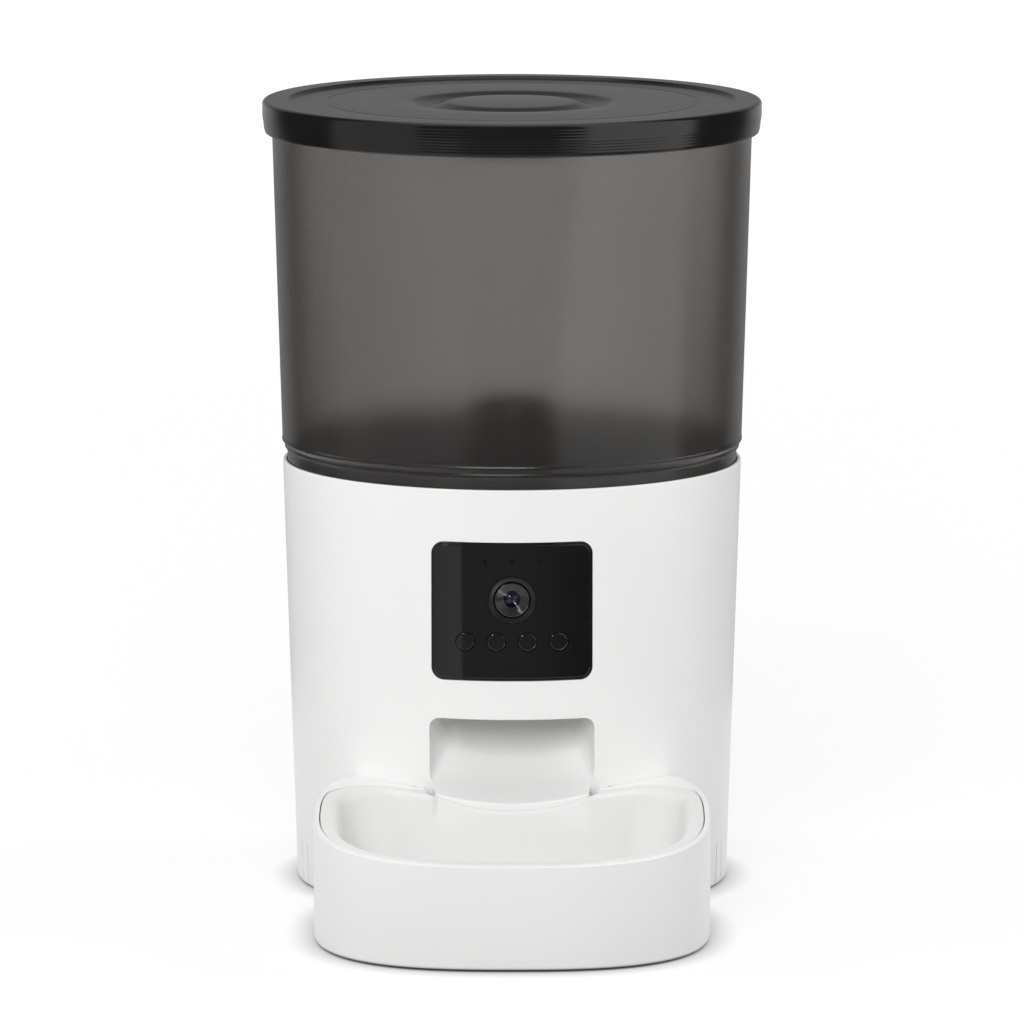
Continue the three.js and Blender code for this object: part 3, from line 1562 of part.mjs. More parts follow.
function makeBowlTray() {
  const outer = trayOutline(0, bodyFootRadius + trayBodyGap, trayCornerRadius);
  let tray = raised(outer, standGap, trayRimAt(0)).intersect(underRim(0));
  const well = trayOutline(trayWall, trayWellBack, bowlCornerRadius);
  tray = tray.subtract(raised(well, trayFloorTop, trayRimAt(0) + cutOverrun));
  tray = tray.subtract(bodyCore(trayBodyGap, standGap - cutOverrun, trayRimAt(0) + cutOverrun));
  tray = tray.subtract(block(
    -trayNotchHalfWidth, trayNotchHalfWidth, -bowlBackInner, 0, trayNotchFloor, trayRimAt(0) + cutOverrun,
  ));
  for (const side of [-1, 1]) {
    const x = side * hookX;
    const far = bodyRadiusAt(hookBottom) + trayBackWall / 2;
    const near = bodyInnerAt(hookBottom);
    const start = -Math.sqrt(far * far - (hookX + hookWidth / 2) * (hookX + hookWidth / 2));
    const end = -Math.sqrt(near * near - (hookX - hookWidth / 2) * (hookX - hookWidth / 2)) + hookReach;
    const half = hookWidth / 2;
    tray = tray.add(block(x - half, x + half, start, end, hookBottom, hookBottom + hookHeight));
  }
  return tray;
}

// Food bowl: a lip flush with the tray's rim, a deep cup, and a notch under the spout

function bowlNotchShape() {
  const points = [];
  const low = chuteLipHeight - chuteLipThick - bowlNotchPlay;
  const square = chuteLipArcRadius * chuteLipArcRadius - chuteLipHalfWidth * chuteLipHalfWidth;
  const arcRise = chuteLipArcRadius - Math.sqrt(square);
  const rise = chuteLipSlopeShare * arcRise;
  for (let i = 0; i <= bowlNotchSteps; i += 1) {
    const share = -1 + 2 * i / bowlNotchSteps;
    points.push([share * bowlNotchHalfWidth, low + rise * share * share]);
  }
  points.push([bowlNotchHalfWidth, trayRimAt(0) + cutOverrun]);
  points.push([-bowlNotchHalfWidth, trayRimAt(0) + cutOverrun]);
  return shapeOf(points);
}

function makeFoodBowl() {
  const high = trayRimAt(0);
  const wallOutline = trayOutline(bowlCavityInset - bowlWall, bowlBackOuter, bowlCornerRadius - bowlWall);
  const cavityOutline = trayOutline(bowlCavityInset, bowlBackInner, bowlCornerRadius - 2 * bowlWall);
  const lipOutline = trayOutline(bowlLipInset, bowlLipBack, bowlCornerRadius);
  const cup = raised(wallOutline, bowlBottom, high);
  const lip = raised(lipOutline, bowlBottom, high).subtract(underRim(bowlLipThick));
  let bowl = cup.add(lip).intersect(underRim(0));
  bowl = bowl.subtract(raised(cavityOutline, bowlBottom + bowlFloorThick, high + cutOverrun));
  const back = -bodyFootRadius / 2;
  return bowl.subtract(drawnThroughY(bowlNotchShape(), -bowlBackInner - cutOverrun, back));
}

// Assembly

const feeder = new THREE.Group();
const axisGroup = new THREE.Group();
axisGroup.position.set(0, depthCentre, 0);
feeder.add(axisGroup);

function material([red, green, blue], roughness, metalness = 0) {
  return new THREE.MeshStandardMaterial({ color: new THREE.Color(red, green, blue), roughness, metalness });
}

function place(name, body, finish, parent = axisGroup) {
  const mesh = new THREE.Mesh(geometryOf(body), finish);
  mesh.name = name;
  parent.add(mesh);
}

place('lid_shell', makeLid(), material(nearBlack, 0.35));
place('lid_seal', makeLidSeal(), material(rubberGrey, 0.8));
place('desiccant_box', makeDesiccantBox(), material(white, 0.5));
place('desiccant_cover', makeDesiccantCover(), material(white, 0.5));
place('food_hopper', makeHopper(), material(smoke, 0.4));
place('food_funnel', makeFunnel(), material(darkGrey, 0.5));
place('outlet_guard', makeOutletGuard(), material(darkGrey, 0.5));
place('rotor_well', makeRotorWell(), material(darkGrey, 0.5));
place('rotor', makeRotor(), material(darkGrey, 0.7));
place('agitator', makeAgitator(), material(darkGrey, 0.5));
place('drive_shaft', makeDriveShaft(), material(steel, 0.3, 1));
place('drive_gear', makeDriveGear(), material(nylon, 0.5));
place('gear_case', makeGearCase(), material(darkGrey, 0.5));
place('gear_case_cover', makeGearCaseCover(), material(darkGrey, 0.5));
place('gear_motor', makeGearMotor(), material(steel, 0.3, 1));
place('body_shell', makeBodyShell(), material(white, 0.3));
place('inner_frame', makeInnerFrame(), material(white, 0.5));
place('food_chute', makeFoodChute(), material(white, 0.35));
place('control_panel', makeControlPanel(), material(glossBlack, 0.1));
place('camera_ring', makeCameraRing(), material(nearBlack, 0.25));
place('lens_barrel', makeLensBarrel(), material(nearBlack, 0.3));
place('camera_lens', makeCameraLens(), material(lensBlue, 0.05));
place('camera_module', makeCameraModule(), material(darkGrey, 0.4));
place('front_board', makeFrontBoard(), material(boardGreen, 0.5));
place('base_plate', makeBasePlate(), material(white, 0.5));
place('battery_box', makeBatteryBox(), material(darkGrey, 0.5));
place('battery_contact_front', makeBatteryContact(-1), material(brass, 0.3, 1));
place('battery_contact_back', makeBatteryContact(1), material(brass, 0.3, 1));
place('battery_door', makeBatteryDoor(), material(white, 0.5));
place('main_board', makeMainBoard(), material(boardGreen, 0.5));
place('speaker', makeSpeaker(), material(darkGrey, 0.5));
place('power_socket', makePowerSocket(), material(darkGrey, 0.5));
place('bowl_tray', makeBowlTray(), material(white, 0.35));
place('food_bowl', makeFoodBowl(), material(white, 0.35));

// The pinion turns about the motor's axis
const pinionGroup = new THREE.Group();
pinionGroup.position.set(0, gearCentres, 0);
axisGroup.add(pinionGroup);
place('motor_pinion', makeMotorPinion(), material(brass, 0.3, 1), pinionGroup);

for (let i = 0; i < buttonCount; i += 1) {
  place(`button_${i + 1}`, makeButton(i), material(glossBlack, 0.2));
}

let corner = 0;
for (const [sideX, sideY] of [[-1, -1], [1, -1], [-1, 1], [1, 1]]) {
  corner += 1;
  place(`foot_${corner}`, makeFoot(sideX * footX, sideY * footY), material(rubberGrey, 0.9));
  place(`base_screw_${corner}`, makeScrew(sideX * legX, sideY * legY), material(steel, 0.3, 1));
}

export default feeder;
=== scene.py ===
import json
import math

import bmesh
import bpy
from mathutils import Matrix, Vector


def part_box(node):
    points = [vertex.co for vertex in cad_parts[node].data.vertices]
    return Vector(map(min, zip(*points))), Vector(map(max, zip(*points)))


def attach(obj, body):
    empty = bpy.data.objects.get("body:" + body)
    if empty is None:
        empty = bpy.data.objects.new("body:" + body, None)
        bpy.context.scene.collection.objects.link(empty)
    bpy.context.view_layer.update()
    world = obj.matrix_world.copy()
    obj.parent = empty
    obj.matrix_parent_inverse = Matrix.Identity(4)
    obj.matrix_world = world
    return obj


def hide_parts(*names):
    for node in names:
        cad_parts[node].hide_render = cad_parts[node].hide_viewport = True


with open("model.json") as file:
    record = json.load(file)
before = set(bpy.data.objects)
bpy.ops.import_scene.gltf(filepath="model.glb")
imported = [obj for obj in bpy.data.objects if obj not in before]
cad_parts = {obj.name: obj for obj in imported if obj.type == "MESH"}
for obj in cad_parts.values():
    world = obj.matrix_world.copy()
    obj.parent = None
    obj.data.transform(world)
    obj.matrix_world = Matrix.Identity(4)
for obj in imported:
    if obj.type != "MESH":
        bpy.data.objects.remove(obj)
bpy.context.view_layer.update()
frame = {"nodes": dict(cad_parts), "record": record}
nodes = frame["nodes"]
scene = bpy.context.scene

# Sizes below are in millimetres about the body's axis, as in the CAD source. The front is at -y.
MM = 0.001
hopper_low, hopper_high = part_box("food_hopper")
AXIS_Y = (hopper_low.y + hopper_high.y) / 2 / MM

# Body: a cone that widens upwards by TAPER per millimetre
FOOT_R, FOOT_Z, TAPER = 99.8, 1.0, 0.03176
RIM_Z, RIM_R = 196.2, 106.0
SLIT_ANGLES, SLIT_HALF, SLIT_TOP = (70.5, 75.5), 0.4, 20.0

# Chute: its lip ends on an arc in plan, and its mouth is an opening in the body
LIP_REACH, LIP_ARC, LIP_HALF, LIP_THICK, LIP_CURL = 112.17, 76.0, 34.6, 4.2, 1.7
LIP_ARC_Y = LIP_REACH - LIP_ARC
MOUTH_TOP, MOUTH_HALF, MOUTH_CORNER = 90.5, 37.4, 4.6
DUCT_HALF, DUCT_TOP, DUCT_BACK, DUCT_ENTRY = 32.5, 151.7, -31.2, -94.4

# Panel with the camera, the buttons and the pin holes. PROUD is how far it stands off the body.
PANEL_HALF, PANEL_LOW, PANEL_HIGH, PANEL_CORNER, PANEL_PROUD = 36.3, 108.6, 172.0, 5.5, 0.3
LENS_Z, BEZEL_Y, GLASS_R = 145.9, -104.7, 3.6
BUTTON_Z, BUTTON_R, BUTTON_GAP, BUTTON_PITCH, BUTTON_PROUD = 126.5, 4.2, 0.25, 14.15, 0.25
PIN_Z, PIN_PITCH, PIN_R = 163.2, 12.1, 0.95

# Lid: the height of its flat top, and its outer radius
LID_FLAT, LID_R = 361.6, 115.0

# Tray: a superellipse in plan round TRAY_CENTRE
TRAY_X, TRAY_Y, TRAY_POWER, TRAY_CENTRE = 89.2, 92.3, 2.7, -137.0
TRAY_NOTCH_Z, BOWL_NOTCH_Y, BOWL_RAMP = 46.0, -128, (34.7, 38.4)
TRAY_FLOOR_Z, BOWL_FLOOR_Z, BOWL_FOOT_Z = 3.2, 5.7, 3.5


def body_radius(z):
    return FOOT_R + TAPER * (z - FOOT_Z)


# ---------------------------------------------------------------- mesh helpers

def eased(value, low, high):
    t = min(1, max(0, (value - low) / (high - low)))
    return t * t * (3 - 2 * t)


def to_world(p):
    return (p[0] * MM, (p[1] + AXIS_Y) * MM, p[2] * MM)


def make(name, points, faces, merge=0.0):
    mesh = bpy.data.meshes.new(name)
    mesh.from_pydata([to_world(p) for p in points], [], faces)
    bm = bmesh.new()
    bm.from_mesh(mesh)
    if merge:
        bmesh.ops.remove_doubles(bm, verts=bm.verts, dist=merge * MM)
    bmesh.ops.recalc_face_normals(bm, faces=bm.faces)
    bm.to_mesh(mesh)
    bm.free()
    obj = bpy.data.objects.new(name, mesh)
    scene.collection.objects.link(obj)
    return obj


def rounded(points, steps, closed=True):
    """Points (a, b) or (a, b, radius): corners with a radius become arcs."""
    out = []
    n = len(points)
    for i, p in enumerate(points):
        r = p[2] if len(p) > 2 else 0
        if not r or (not closed and i in (0, n - 1)):
            out.append((p[0], p[1]))
            continue
        here = Vector(p[:2])
        u = (Vector(points[i - 1][:2]) - here).normalized()
        v = (Vector(points[(i + 1) % n][:2]) - here).normalized()
        half = u.angle(v) / 2
        reach = r / math.tan(half)
        middle = here + (u + v).normalized() * (r / math.sin(half))
        a = here + u * reach - middle
        b = here + v * reach - middle
        sweep = a.angle(b)
        for k in range(steps + 1):
            t = k / steps
            w = (a * math.sin((1 - t) * sweep) + b * math.sin(t * sweep)) / math.sin(sweep)
            out.append((middle.x + w.x, middle.y + w.y))
    return out


def grid_faces(rows, cols, wrap_rows, wrap_cols):
    """Quads of a grid of points. A wrapped direction closes on itself."""
    faces = []
    for i in range(rows if wrap_rows else rows - 1):
        for j in range(cols if wrap_cols else cols - 1):
            i2, j2 = (i + 1) % rows, (j + 1) % cols
            faces.append((i * cols + j, i * cols + j2, i2 * cols + j2, i2 * cols + j))
    return faces


def lathe(name, profile, sides):
    """Turns a closed loop of (radius, height) about the body's axis."""
    points = []
    for k in range(sides):
        a = 2 * math.pi * k / sides
        points += [(r * math.sin(a), -r * math.cos(a), z) for r, z in profile]
    return make(name, points, grid_faces(sides, len(profile), True, True), merge=0.0005)


def lathe_y(name, profile, x, y, z, sides):
    """Turns a closed loop of (radius, depth behind y) about an axis that runs along Y."""
    points = []
    for k in range(sides):
        a = 2 * math.pi * k / sides
        points += [(x + r * math.cos(a), y + t, z + r * math.sin(a)) for r, t in profile]
    return make(name, points, grid_faces(sides, len(profile), True, True), merge=0.0005)


def loft(name, rings):
    """Joins closed rings that have the same number of points, and closes both ends."""
    n = len(rings[0])
    faces = grid_faces(len(rings), n, False, True)
    faces.append(tuple(range(n)))
    faces.append(tuple(range((len(rings) - 1) * n, len(rings) * n)))
    return make(name, [p for ring in rings for p in ring], faces)


def evaluated(obj):
    """Applies the object's modifiers."""
    graph = bpy.context.evaluated_depsgraph_get()
    graph.update()
    mesh = bpy.data.meshes.new_from_object(
        obj.evaluated_get(graph), preserve_all_data_layers=True, depsgraph=graph)
    obj.modifiers.clear()
    obj.data = mesh


def carve(obj, cutters):
    """Cuts the cutters out of the object and deletes them."""
    for cutter in cutters:
        mod = obj.modifiers.new("carve", "BOOLEAN")
        mod.operation = "DIFFERENCE"
        mod.solver = "EXACT"
        mod.object = cutter
    evaluated(obj)
    for cutter in cutters:
        bpy.data.objects.remove(cutter)


def shade(obj, angle, cone=None):
    """Smooth shading, sharp over angle degrees. cone(co) gives a point's true normal, or None."""
    obj.data.shade_smooth()
    obj.data.set_sharp_from_angle(angle=math.radians(angle))
    mod = obj.modifiers.new("normals", "WEIGHTED_NORMAL")
    mod.keep_sharp = True
    mod.weight = 60
    evaluated(obj)
    if cone:
        mesh = obj.data
        normals = [Vector(c.vector) for c in mesh.corner_normals]
        for face in mesh.polygons:
            for loop in face.loop_indices:
                true = cone(mesh.vertices[mesh.loops[loop].vertex_index].co)
                if true and face.normal.dot(true) > 0.6:
                    normals[loop] = true
        mesh.normals_split_custom_set(normals)
    return obj


def cone_normals(proud, tolerance=0.03):
    """True normals of the body's tapered wall, moved out by proud, within tolerance of it."""
    def normal(co):
        x, y, z = co.x / MM, co.y / MM - AXIS_Y, co.z / MM
        r = math.hypot(x, y)
        if y > 0 and proud:
            return None
        if abs(r - body_radius(z) - proud) > tolerance:
            return None
        return Vector((x / r, y / r, -TAPER)).normalized()
    return normal


# ---------------------------------------------------------------- materials

def blank_material(name):
    material = bpy.data.materials.new(name)
    material.use_nodes = True
    material.node_tree.nodes.clear()
    return material, material.node_tree


def shader(name):
    """A material with a Principled shader, and the object coordinates for its patterns."""
    material, tree = blank_material(name)
    out = tree.nodes.new("ShaderNodeOutputMaterial")
    bsdf = tree.nodes.new("ShaderNodeBsdfPrincipled")
    tree.links.new(bsdf.outputs[0], out.inputs[0])
    where = tree.nodes.new("ShaderNodeTexCoord").outputs["Object"]
    return material, tree, bsdf, where


def noise(tree, where, size_mm, detail=3.0, stretch=None):
    """Noise with features of about size_mm."""
    node = tree.nodes.new("ShaderNodeTexNoise")
    node.inputs["Scale"].default_value = 1000.0 / size_mm
    node.inputs["Detail"].default_value = detail
    if stretch:
        mapping = tree.nodes.new("ShaderNodeMapping")
        mapping.inputs["Scale"].default_value = stretch
        tree.links.new(where, mapping.inputs[0])
        where = mapping.outputs[0]
    tree.links.new(where, node.inputs["Vector"])
    return node.outputs["Fac"]


def spread(tree, value, low, high, at=(0.3, 0.7)):
    """Maps the range at to low and high. Noise stays mostly within the default range."""
    node = tree.nodes.new("ShaderNodeMapRange")
    node.inputs["From Min"].default_value = at[0]
    node.inputs["From Max"].default_value = at[1]
    node.inputs["To Min"].default_value = low
    node.inputs["To Max"].default_value = high
    tree.links.new(value, node.inputs["Value"])
    return node.outputs[0]


def mixed(tree, share, one, two):
    """A colour between one and two, each a tuple or a socket."""
    node = tree.nodes.new("ShaderNodeMix")
    node.data_type = "RGBA"
    tree.links.new(share, node.inputs["Factor"])
    for socket, value in ((node.inputs[6], one), (node.inputs[7], two)):
        if isinstance(value, tuple):
            socket.default_value = (*value, 1.0)
        else:
            tree.links.new(value, socket)
    return node.outputs[2]


def bump(tree, height, depth_mm):
    node = tree.nodes.new("ShaderNodeBump")
    node.inputs["Distance"].default_value = depth_mm * MM
    tree.links.new(height, node.inputs["Height"])
    return node.outputs[0]


def finish_of(name, color, rough, grain, depth, vary, patch, wear, swing=0.04, metal=0.0,
              level=0.5, coat=0.0, coat_rough=0.05, brushed=None):
    """A moulded or metal finish: fine grain of that size and depth in mm, tone that drifts by
    vary over patch mm, edges that wear lighter, and roughness that swings by swing."""
    material, tree, bsdf, where = shader(name)
    dark = tuple(c * (1 - vary) for c in color)
    light = tuple(min(1.0, c * (1 + vary)) for c in color)
    tone = mixed(tree, spread(tree, noise(tree, where, patch), 0, 1), dark, light)
    edge = tree.nodes.new("ShaderNodeNewGeometry").outputs["Pointiness"]
    worn = tuple(min(1.0, c + (1 - c) * wear) for c in color)
    tone = mixed(tree, spread(tree, edge, 0, 1, (0.53, 0.62)), tone, worn)
    tree.links.new(tone, bsdf.inputs["Base Color"])
    gloss = spread(tree, noise(tree, where, patch / 4), rough - swing, rough + swing)
    tree.links.new(gloss, bsdf.inputs["Roughness"])
    normal = bump(tree, noise(tree, where, grain, 2.0, brushed), depth)
    tree.links.new(normal, bsdf.inputs["Normal"])
    bsdf.inputs["Metallic"].default_value = metal
    bsdf.inputs["Specular IOR Level"].default_value = level
    bsdf.inputs["Coat Weight"].default_value = coat
    bsdf.inputs["Coat Roughness"].default_value = coat_rough
    return material


SMOKE_DENSITY = 374.0


def smoke_finish():
    """Frosted, see-through smoke grey. The tint comes from absorption in the wall."""
    material, tree, bsdf, where = shader("smoke_frosted")
    tone = mixed(tree, spread(tree, noise(tree, where, 70.0), 0, 1),
                 (0.94, 0.94, 0.94), (0.98, 0.98, 0.98))
    tree.links.new(tone, bsdf.inputs["Base Color"])
    tree.links.new(spread(tree, noise(tree, where, 12.0), 0.21, 0.25), bsdf.inputs["Roughness"])
    normal = bump(tree, noise(tree, where, 0.45, 3.0), 0.006)
    tree.links.new(normal, bsdf.inputs["Normal"])
    bsdf.inputs["Transmission Weight"].default_value = 1.0
    bsdf.inputs["IOR"].default_value = 1.45
    tint = tree.nodes.new("ShaderNodeVolumeAbsorption")
    tint.inputs["Color"].default_value = (0.08, 0.034, 0.0, 1.0)
    tint.inputs["Density"].default_value = SMOKE_DENSITY
    tree.links.new(tint.outputs[0], tree.nodes["Material Output"].inputs["Volume"])
    return material


def lens_finish():
    """Coated glass. Its normals are turned round in x and z, so it mirrors as a hollow does."""
    material, tree, bsdf, where = shader("lens_coated")
    # Painted sheen: the base colour turns a lighter blue where the lens is seen edge-on
    rim = tree.nodes.new("ShaderNodeLayerWeight")
    rim.inputs["Blend"].default_value = 0.35
    tone = mixed(tree, rim.outputs["Facing"], (0.003, 0.004, 0.012), (0.008, 0.008, 0.03))
    tree.links.new(tone, bsdf.inputs["Base Color"])
    tree.links.new(spread(tree, noise(tree, where, 3.0), 0.03, 0.06), bsdf.inputs["Roughness"])
    turned = tree.nodes.new("ShaderNodeVectorMath")
    turned.operation = "MULTIPLY"
    turned.inputs[1].default_value = (-1.0, 1.0, -1.0)
    tree.links.new(tree.nodes.new("ShaderNodeNewGeometry").outputs["Normal"], turned.inputs[0])
    tree.links.new(turned.outputs[0], bsdf.inputs["Normal"])
    bsdf.inputs["Specular IOR Level"].default_value = 0.25
    bsdf.inputs["Coat Weight"].default_value = 0.6
    bsdf.inputs["Coat Roughness"].default_value = 0.03
    bsdf.inputs["Coat Tint"].default_value = (0.75, 0.82, 1.0, 1.0)
    return material


# Name, colour, roughness, grain and its depth in mm, drift of tone and its size in mm, edge wear
WHITE = finish_of("white_gloss", (0.86, 0.86, 0.855), 0.33, 0.7, 0.004, 0.006, 90.0, 0.02,
                  swing=0.03)
# The bowl's white plastic, darker than the body's: painted shade for the shade inside the bowl
WHITE_SHADED = finish_of("white_painted_shade", (0.80, 0.80, 0.79), 0.33, 0.7, 0.004, 0.006, 90.0, 0.02,
                 swing=0.03)
WHITE_INNER = finish_of("white_satin", (0.80, 0.80, 0.79), 0.5, 0.5, 0.01, 0.012, 50.0, 0.05)
LID = finish_of("black_satin", (0.0060, 0.0060, 0.0063), 0.17, 0.8, 0.0010, 0.05, 60.0, 0.0015,
                swing=0.01)
BLACK = finish_of("black_fine", (0.016, 0.016, 0.017), 0.32, 0.4, 0.004, 0.10, 20.0, 0.01)
RING = finish_of("black_ring", (0.008, 0.008, 0.0085), 0.32, 0.5, 0.003, 0.08, 10.0, 0.002,
                 swing=0.02, level=0.35)
GLOSS = finish_of("black_gloss", (0.0065, 0.0065, 0.0070), 0.035, 1.2, 0.0003, 0.05, 40.0, 0.001,
                  swing=0.008)
TURNED = finish_of("black_turned", (0.010, 0.010, 0.011), 0.24, 0.6, 0.0, 0.05, 8.0, 0.001,
                   swing=0.02, coat=1.0, coat_rough=0.15)
KEY = finish_of("black_key", (0.0065, 0.0065, 0.0070), 0.08, 0.8, 0.0006, 0.05, 8.0, 0.001,
                swing=0.01)
GREY = finish_of("dark_grey_satin", (0.068, 0.068, 0.072), 0.5, 0.5, 0.012, 0.05, 40.0, 0.04)
RUBBER = finish_of("rubber", (0.085, 0.085, 0.085), 0.78, 0.35, 0.02, 0.08, 12.0, 0.03)
NYLON = finish_of("nylon", (0.75, 0.74, 0.68), 0.45, 0.4, 0.008, 0.03, 15.0, 0.06)
STEEL = finish_of("steel_brushed", (0.60, 0.60, 0.62), 0.34, 0.4, 0.006, 0.06, 9.0, 0.10,
                  metal=1.0, brushed=(1.0, 1.0, 0.06))
# The funnel: a grey far lighter than the black plastic of its slot, partly its own grey tone and
# partly painted light for light reaching it through the hopper
FUNNEL_LIT_GREY = finish_of("funnel_grey_painted_light", (0.20, 0.205, 0.215), 0.5, 0.5, 0.012, 0.05, 40.0, 0.04)
BRASS = finish_of("brass_plain", (0.70, 0.55, 0.25), 0.34, 0.3, 0.004, 0.08, 6.0, 0.10, metal=1.0)
BOARD = finish_of("board_green", (0.03, 0.16, 0.08), 0.35, 0.9, 0.012, 0.18, 5.0, 0.05)
SMOKE = smoke_finish()
LENS = lens_finish()

SLOTS = {
    "black_plastic": BLACK, "gloss_black_plastic": GLOSS, "smoke_plastic": SMOKE,
    "white_plastic": WHITE, "white_inner_plastic": WHITE_INNER, "grey_plastic": GREY,
    "gear_plastic": NYLON, "green_board": BOARD, "grey_rubber": RUBBER, "steel": STEEL,
    "brass": BRASS, "lens_glass": LENS,
}
for part in frame["record"]["subparts"]:
    node = nodes[part["node"]]
    for slot in node.material_slots:
        # The funnel takes the lighter grey, which is partly painted light
        slot.material = FUNNEL_LIT_GREY if part["node"] == "food_funnel" else SLOTS[part["material_slot"]]


def dress(obj, material, body, slot, *replaced):
    """Gives the piece its material and its body, and hides the nodes that it replaces. Its slot is
    not used.
    """
    obj.data.materials.clear()
    obj.data.materials.append(material)
    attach(obj, body)
    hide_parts(*replaced)


# ---------------------------------------------------------------- lid

def lid_profile():
    """A finger groove round a flush disc, a fine ring, a raised rim and a finely ridged side."""
    groove_r, groove_wide, groove_deep, groove_steps = 29.6, 17.4, 2.1, 18
    ridge, pitch, side_step = 0.055, 1.35, 0.27
    side_top, taper_top, side_foot = 360.5, 355.9, 349.2
    top = [(0, LID_FLAT), (29.0, LID_FLAT)]
    for k in range(1, groove_steps):
        t = k / groove_steps
        top.append((groove_r + groove_wide * t,
                    LID_FLAT - groove_deep * math.sin(math.pi * t) ** 0.9))
    top += [(47.6, LID_FLAT), (60, LID_FLAT), (85.3, LID_FLAT), (85.7, 361.38), (86.2, 361.38),
            (86.6, LID_FLAT), (100, LID_FLAT)]
    top += rounded([(100, LID_FLAT), (102.6, LID_FLAT, 0.8), (103.6, 362.8, 0.8),
                    (LID_R, 362.8, 1.9), (LID_R, 355)], 6, False)[1:-1]
    side = []
    z = side_top
    while z > side_foot:
        r = LID_R if z > taper_top else LID_R - 1.1 * (taper_top - z) / 8.0
        side.append((min(r + ridge * math.cos(2 * math.pi * z / pitch) - ridge, LID_R), z))
        z -= side_step
    foot = rounded([(113.95, 350.0), (113.75, 347.8, 0.9), (111.0, 347.8, 0.5), (111.0, 350)],
                   5, False)[1:]
    under = [(111.0, 351.9), (106.0, 352.3), (106.0, 348.0), (104.0, 348.0), (104.0, 359.1),
             (48.5, 359.1), (45.0, 356.0), (42.0, 353.4), (38.3, 353.0), (34.6, 353.4),
             (31.6, 356.0), (28.0, 359.1), (0, 359.1)]
    return top + side + foot + under


lid = shade(lathe("lid_cover", lid_profile(), 320), 50)
dress(lid, LID, "lid", "black_plastic", "lid_shell")

# ---------------------------------------------------------------- hopper

# From the rim down the outside, over two fine ledges to the neck, and up the inside
hopper_loop = rounded([
    (110.6, 351.9, 0.6), (106.22, 206.9, 0.3), (106.42, 206.2, 0.3), (106.4, 205.3, 0.45),
    (105.6, 204.6, 0.3), (105.0, 203.5, 0.3), (105.15, 202.7, 0.3), (105.1, 202.1, 0.4),
    (104.2, 201.5, 0.3), (103.9, 200.6, 0.2), (103.9, 188.4, 0.5), (101.4, 188.4, 0.5),
    (101.4, 203.2, 3.0), (103.7, 207.4, 3.0), (108.1, 351.9, 0.6)], 4)
hopper = shade(lathe("hopper_tank", hopper_loop, 256), 60)
dress(hopper, SMOKE, "hopper", "smoke_plastic", "food_hopper")

# ---------------------------------------------------------------- body

def on_body(x, z, proud):
    """The point of the body's front at x and z, moved out by proud."""
    return (x, -math.sqrt((body_radius(z) + proud) ** 2 - x * x), z)


def subdivided(points, step):
    """Adds points along the long sides of a closed outline."""
    out = []
    for i, p in enumerate(points):
        q = points[(i + 1) % len(points)]
        parts = max(1, round(math.dist(p, q) / step))
        out += [(p[0] + (q[0] - p[0]) * k / parts, p[1] + (q[1] - p[1]) * k / parts)
                for k in range(parts)]
    return out


def rounded_rect(half, low, high, corner, steps=8):
    return rounded([(-half, low, corner), (half, low, corner), (half, high, corner),
                    (-half, high, corner)], steps)


def grown(outline, size):
    """Moves the points of an anticlockwise outline outwards."""
    out = []
    for i, (x, z) in enumerate(outline):
        way = (Vector(outline[(i + 1) % len(outline)]) - Vector(outline[i - 1])).normalized()
        out.append((x + size * way.y, z - size * way.x))
    return out


def opening_cutter(name, outline, deep, edge=0.45):
    """Cuts an opening with a rounded edge in the body's front wall. Its ends are flat."""
    rings = [[(x, deep, z) for x, z in outline], [on_body(x, z, -6.0) for x, z in outline]]
    for k in range(6):
        a = math.pi / 2 * k / 5
        rings.append([on_body(x, z, edge * (math.sin(a) - 1))
                      for x, z in grown(outline, edge * (1 - math.cos(a)))])
    rings.append([on_body(x, z, 1.0) for x, z in grown(outline, edge)])
    rings.append([(x, -130.0, z) for x, z in grown(outline, edge)])
    return loft(name, rings)


def mouth_outline():
    """Round the lip's ends, up the sides and round the upper corners."""
    right = [(34.0, 47.5), (34.0, 58.6), (35.5, 60.0)]
    for k in range(8):
        a = math.radians(34 + 56 * k / 7)
        right.append((MOUTH_HALF - 3.4 * (1 - math.sin(a)), 59.2 + 8.0 * (1 - math.cos(a))))
    right += rounded([(MOUTH_HALF, 70), (MOUTH_HALF, MOUTH_TOP, MOUTH_CORNER), (0, MOUTH_TOP)],
                     8, False)[:-1]
    left = [(-x, z) for x, z in reversed(right)]
    return subdivided(right + left, 2.5)


BOX_FACES = [(0, 1, 2, 3), (4, 5, 6, 7), (0, 1, 5, 4), (1, 2, 6, 5), (2, 3, 7, 6), (3, 0, 4, 7)]


def slot_cutter(angle, half, low, high):
    """A box through the body's wall, angle degrees from the front."""
    a = math.radians(angle)
    n, t = Vector((math.sin(a), -math.cos(a))), Vector((math.cos(a), math.sin(a)))
    points = []
    for r in (90.0, 110.0):
        for s, z in ((-half, low), (half, low), (half, high), (-half, high)):
            points.append((n.x * r + t.x * s, n.y * r + t.y * s, z))
    return make("slot", points, BOX_FACES)


def box_cutter(x0, x1, y0, y1, z0, z1):
    points = [(x, y, z) for z in (z0, z1) for x, y in ((x0, y0), (x1, y0), (x1, y1), (x0, y1))]
    return make("box", points, BOX_FACES)


# From the foot up the outside, over the rim, down past the funnel's seat and the inside
wall = [(body_radius(z), z) for z in (2.0, 20, 45, 70, 95, 120, 145, 170)]
body_loop = rounded([(FOOT_R - 0.02, FOOT_Z, 0.7)] + wall + [
    (RIM_R, RIM_Z, 0.8), (104.2, RIM_Z, 0.4), (104.2, 185.2), (99.6, 185.2, 0.5), (99.6, 182.0),
    (103.1, 178.0), (97.35, FOOT_Z, 0.4)], 5)
shell = lathe("feeder_body", body_loop, 256)
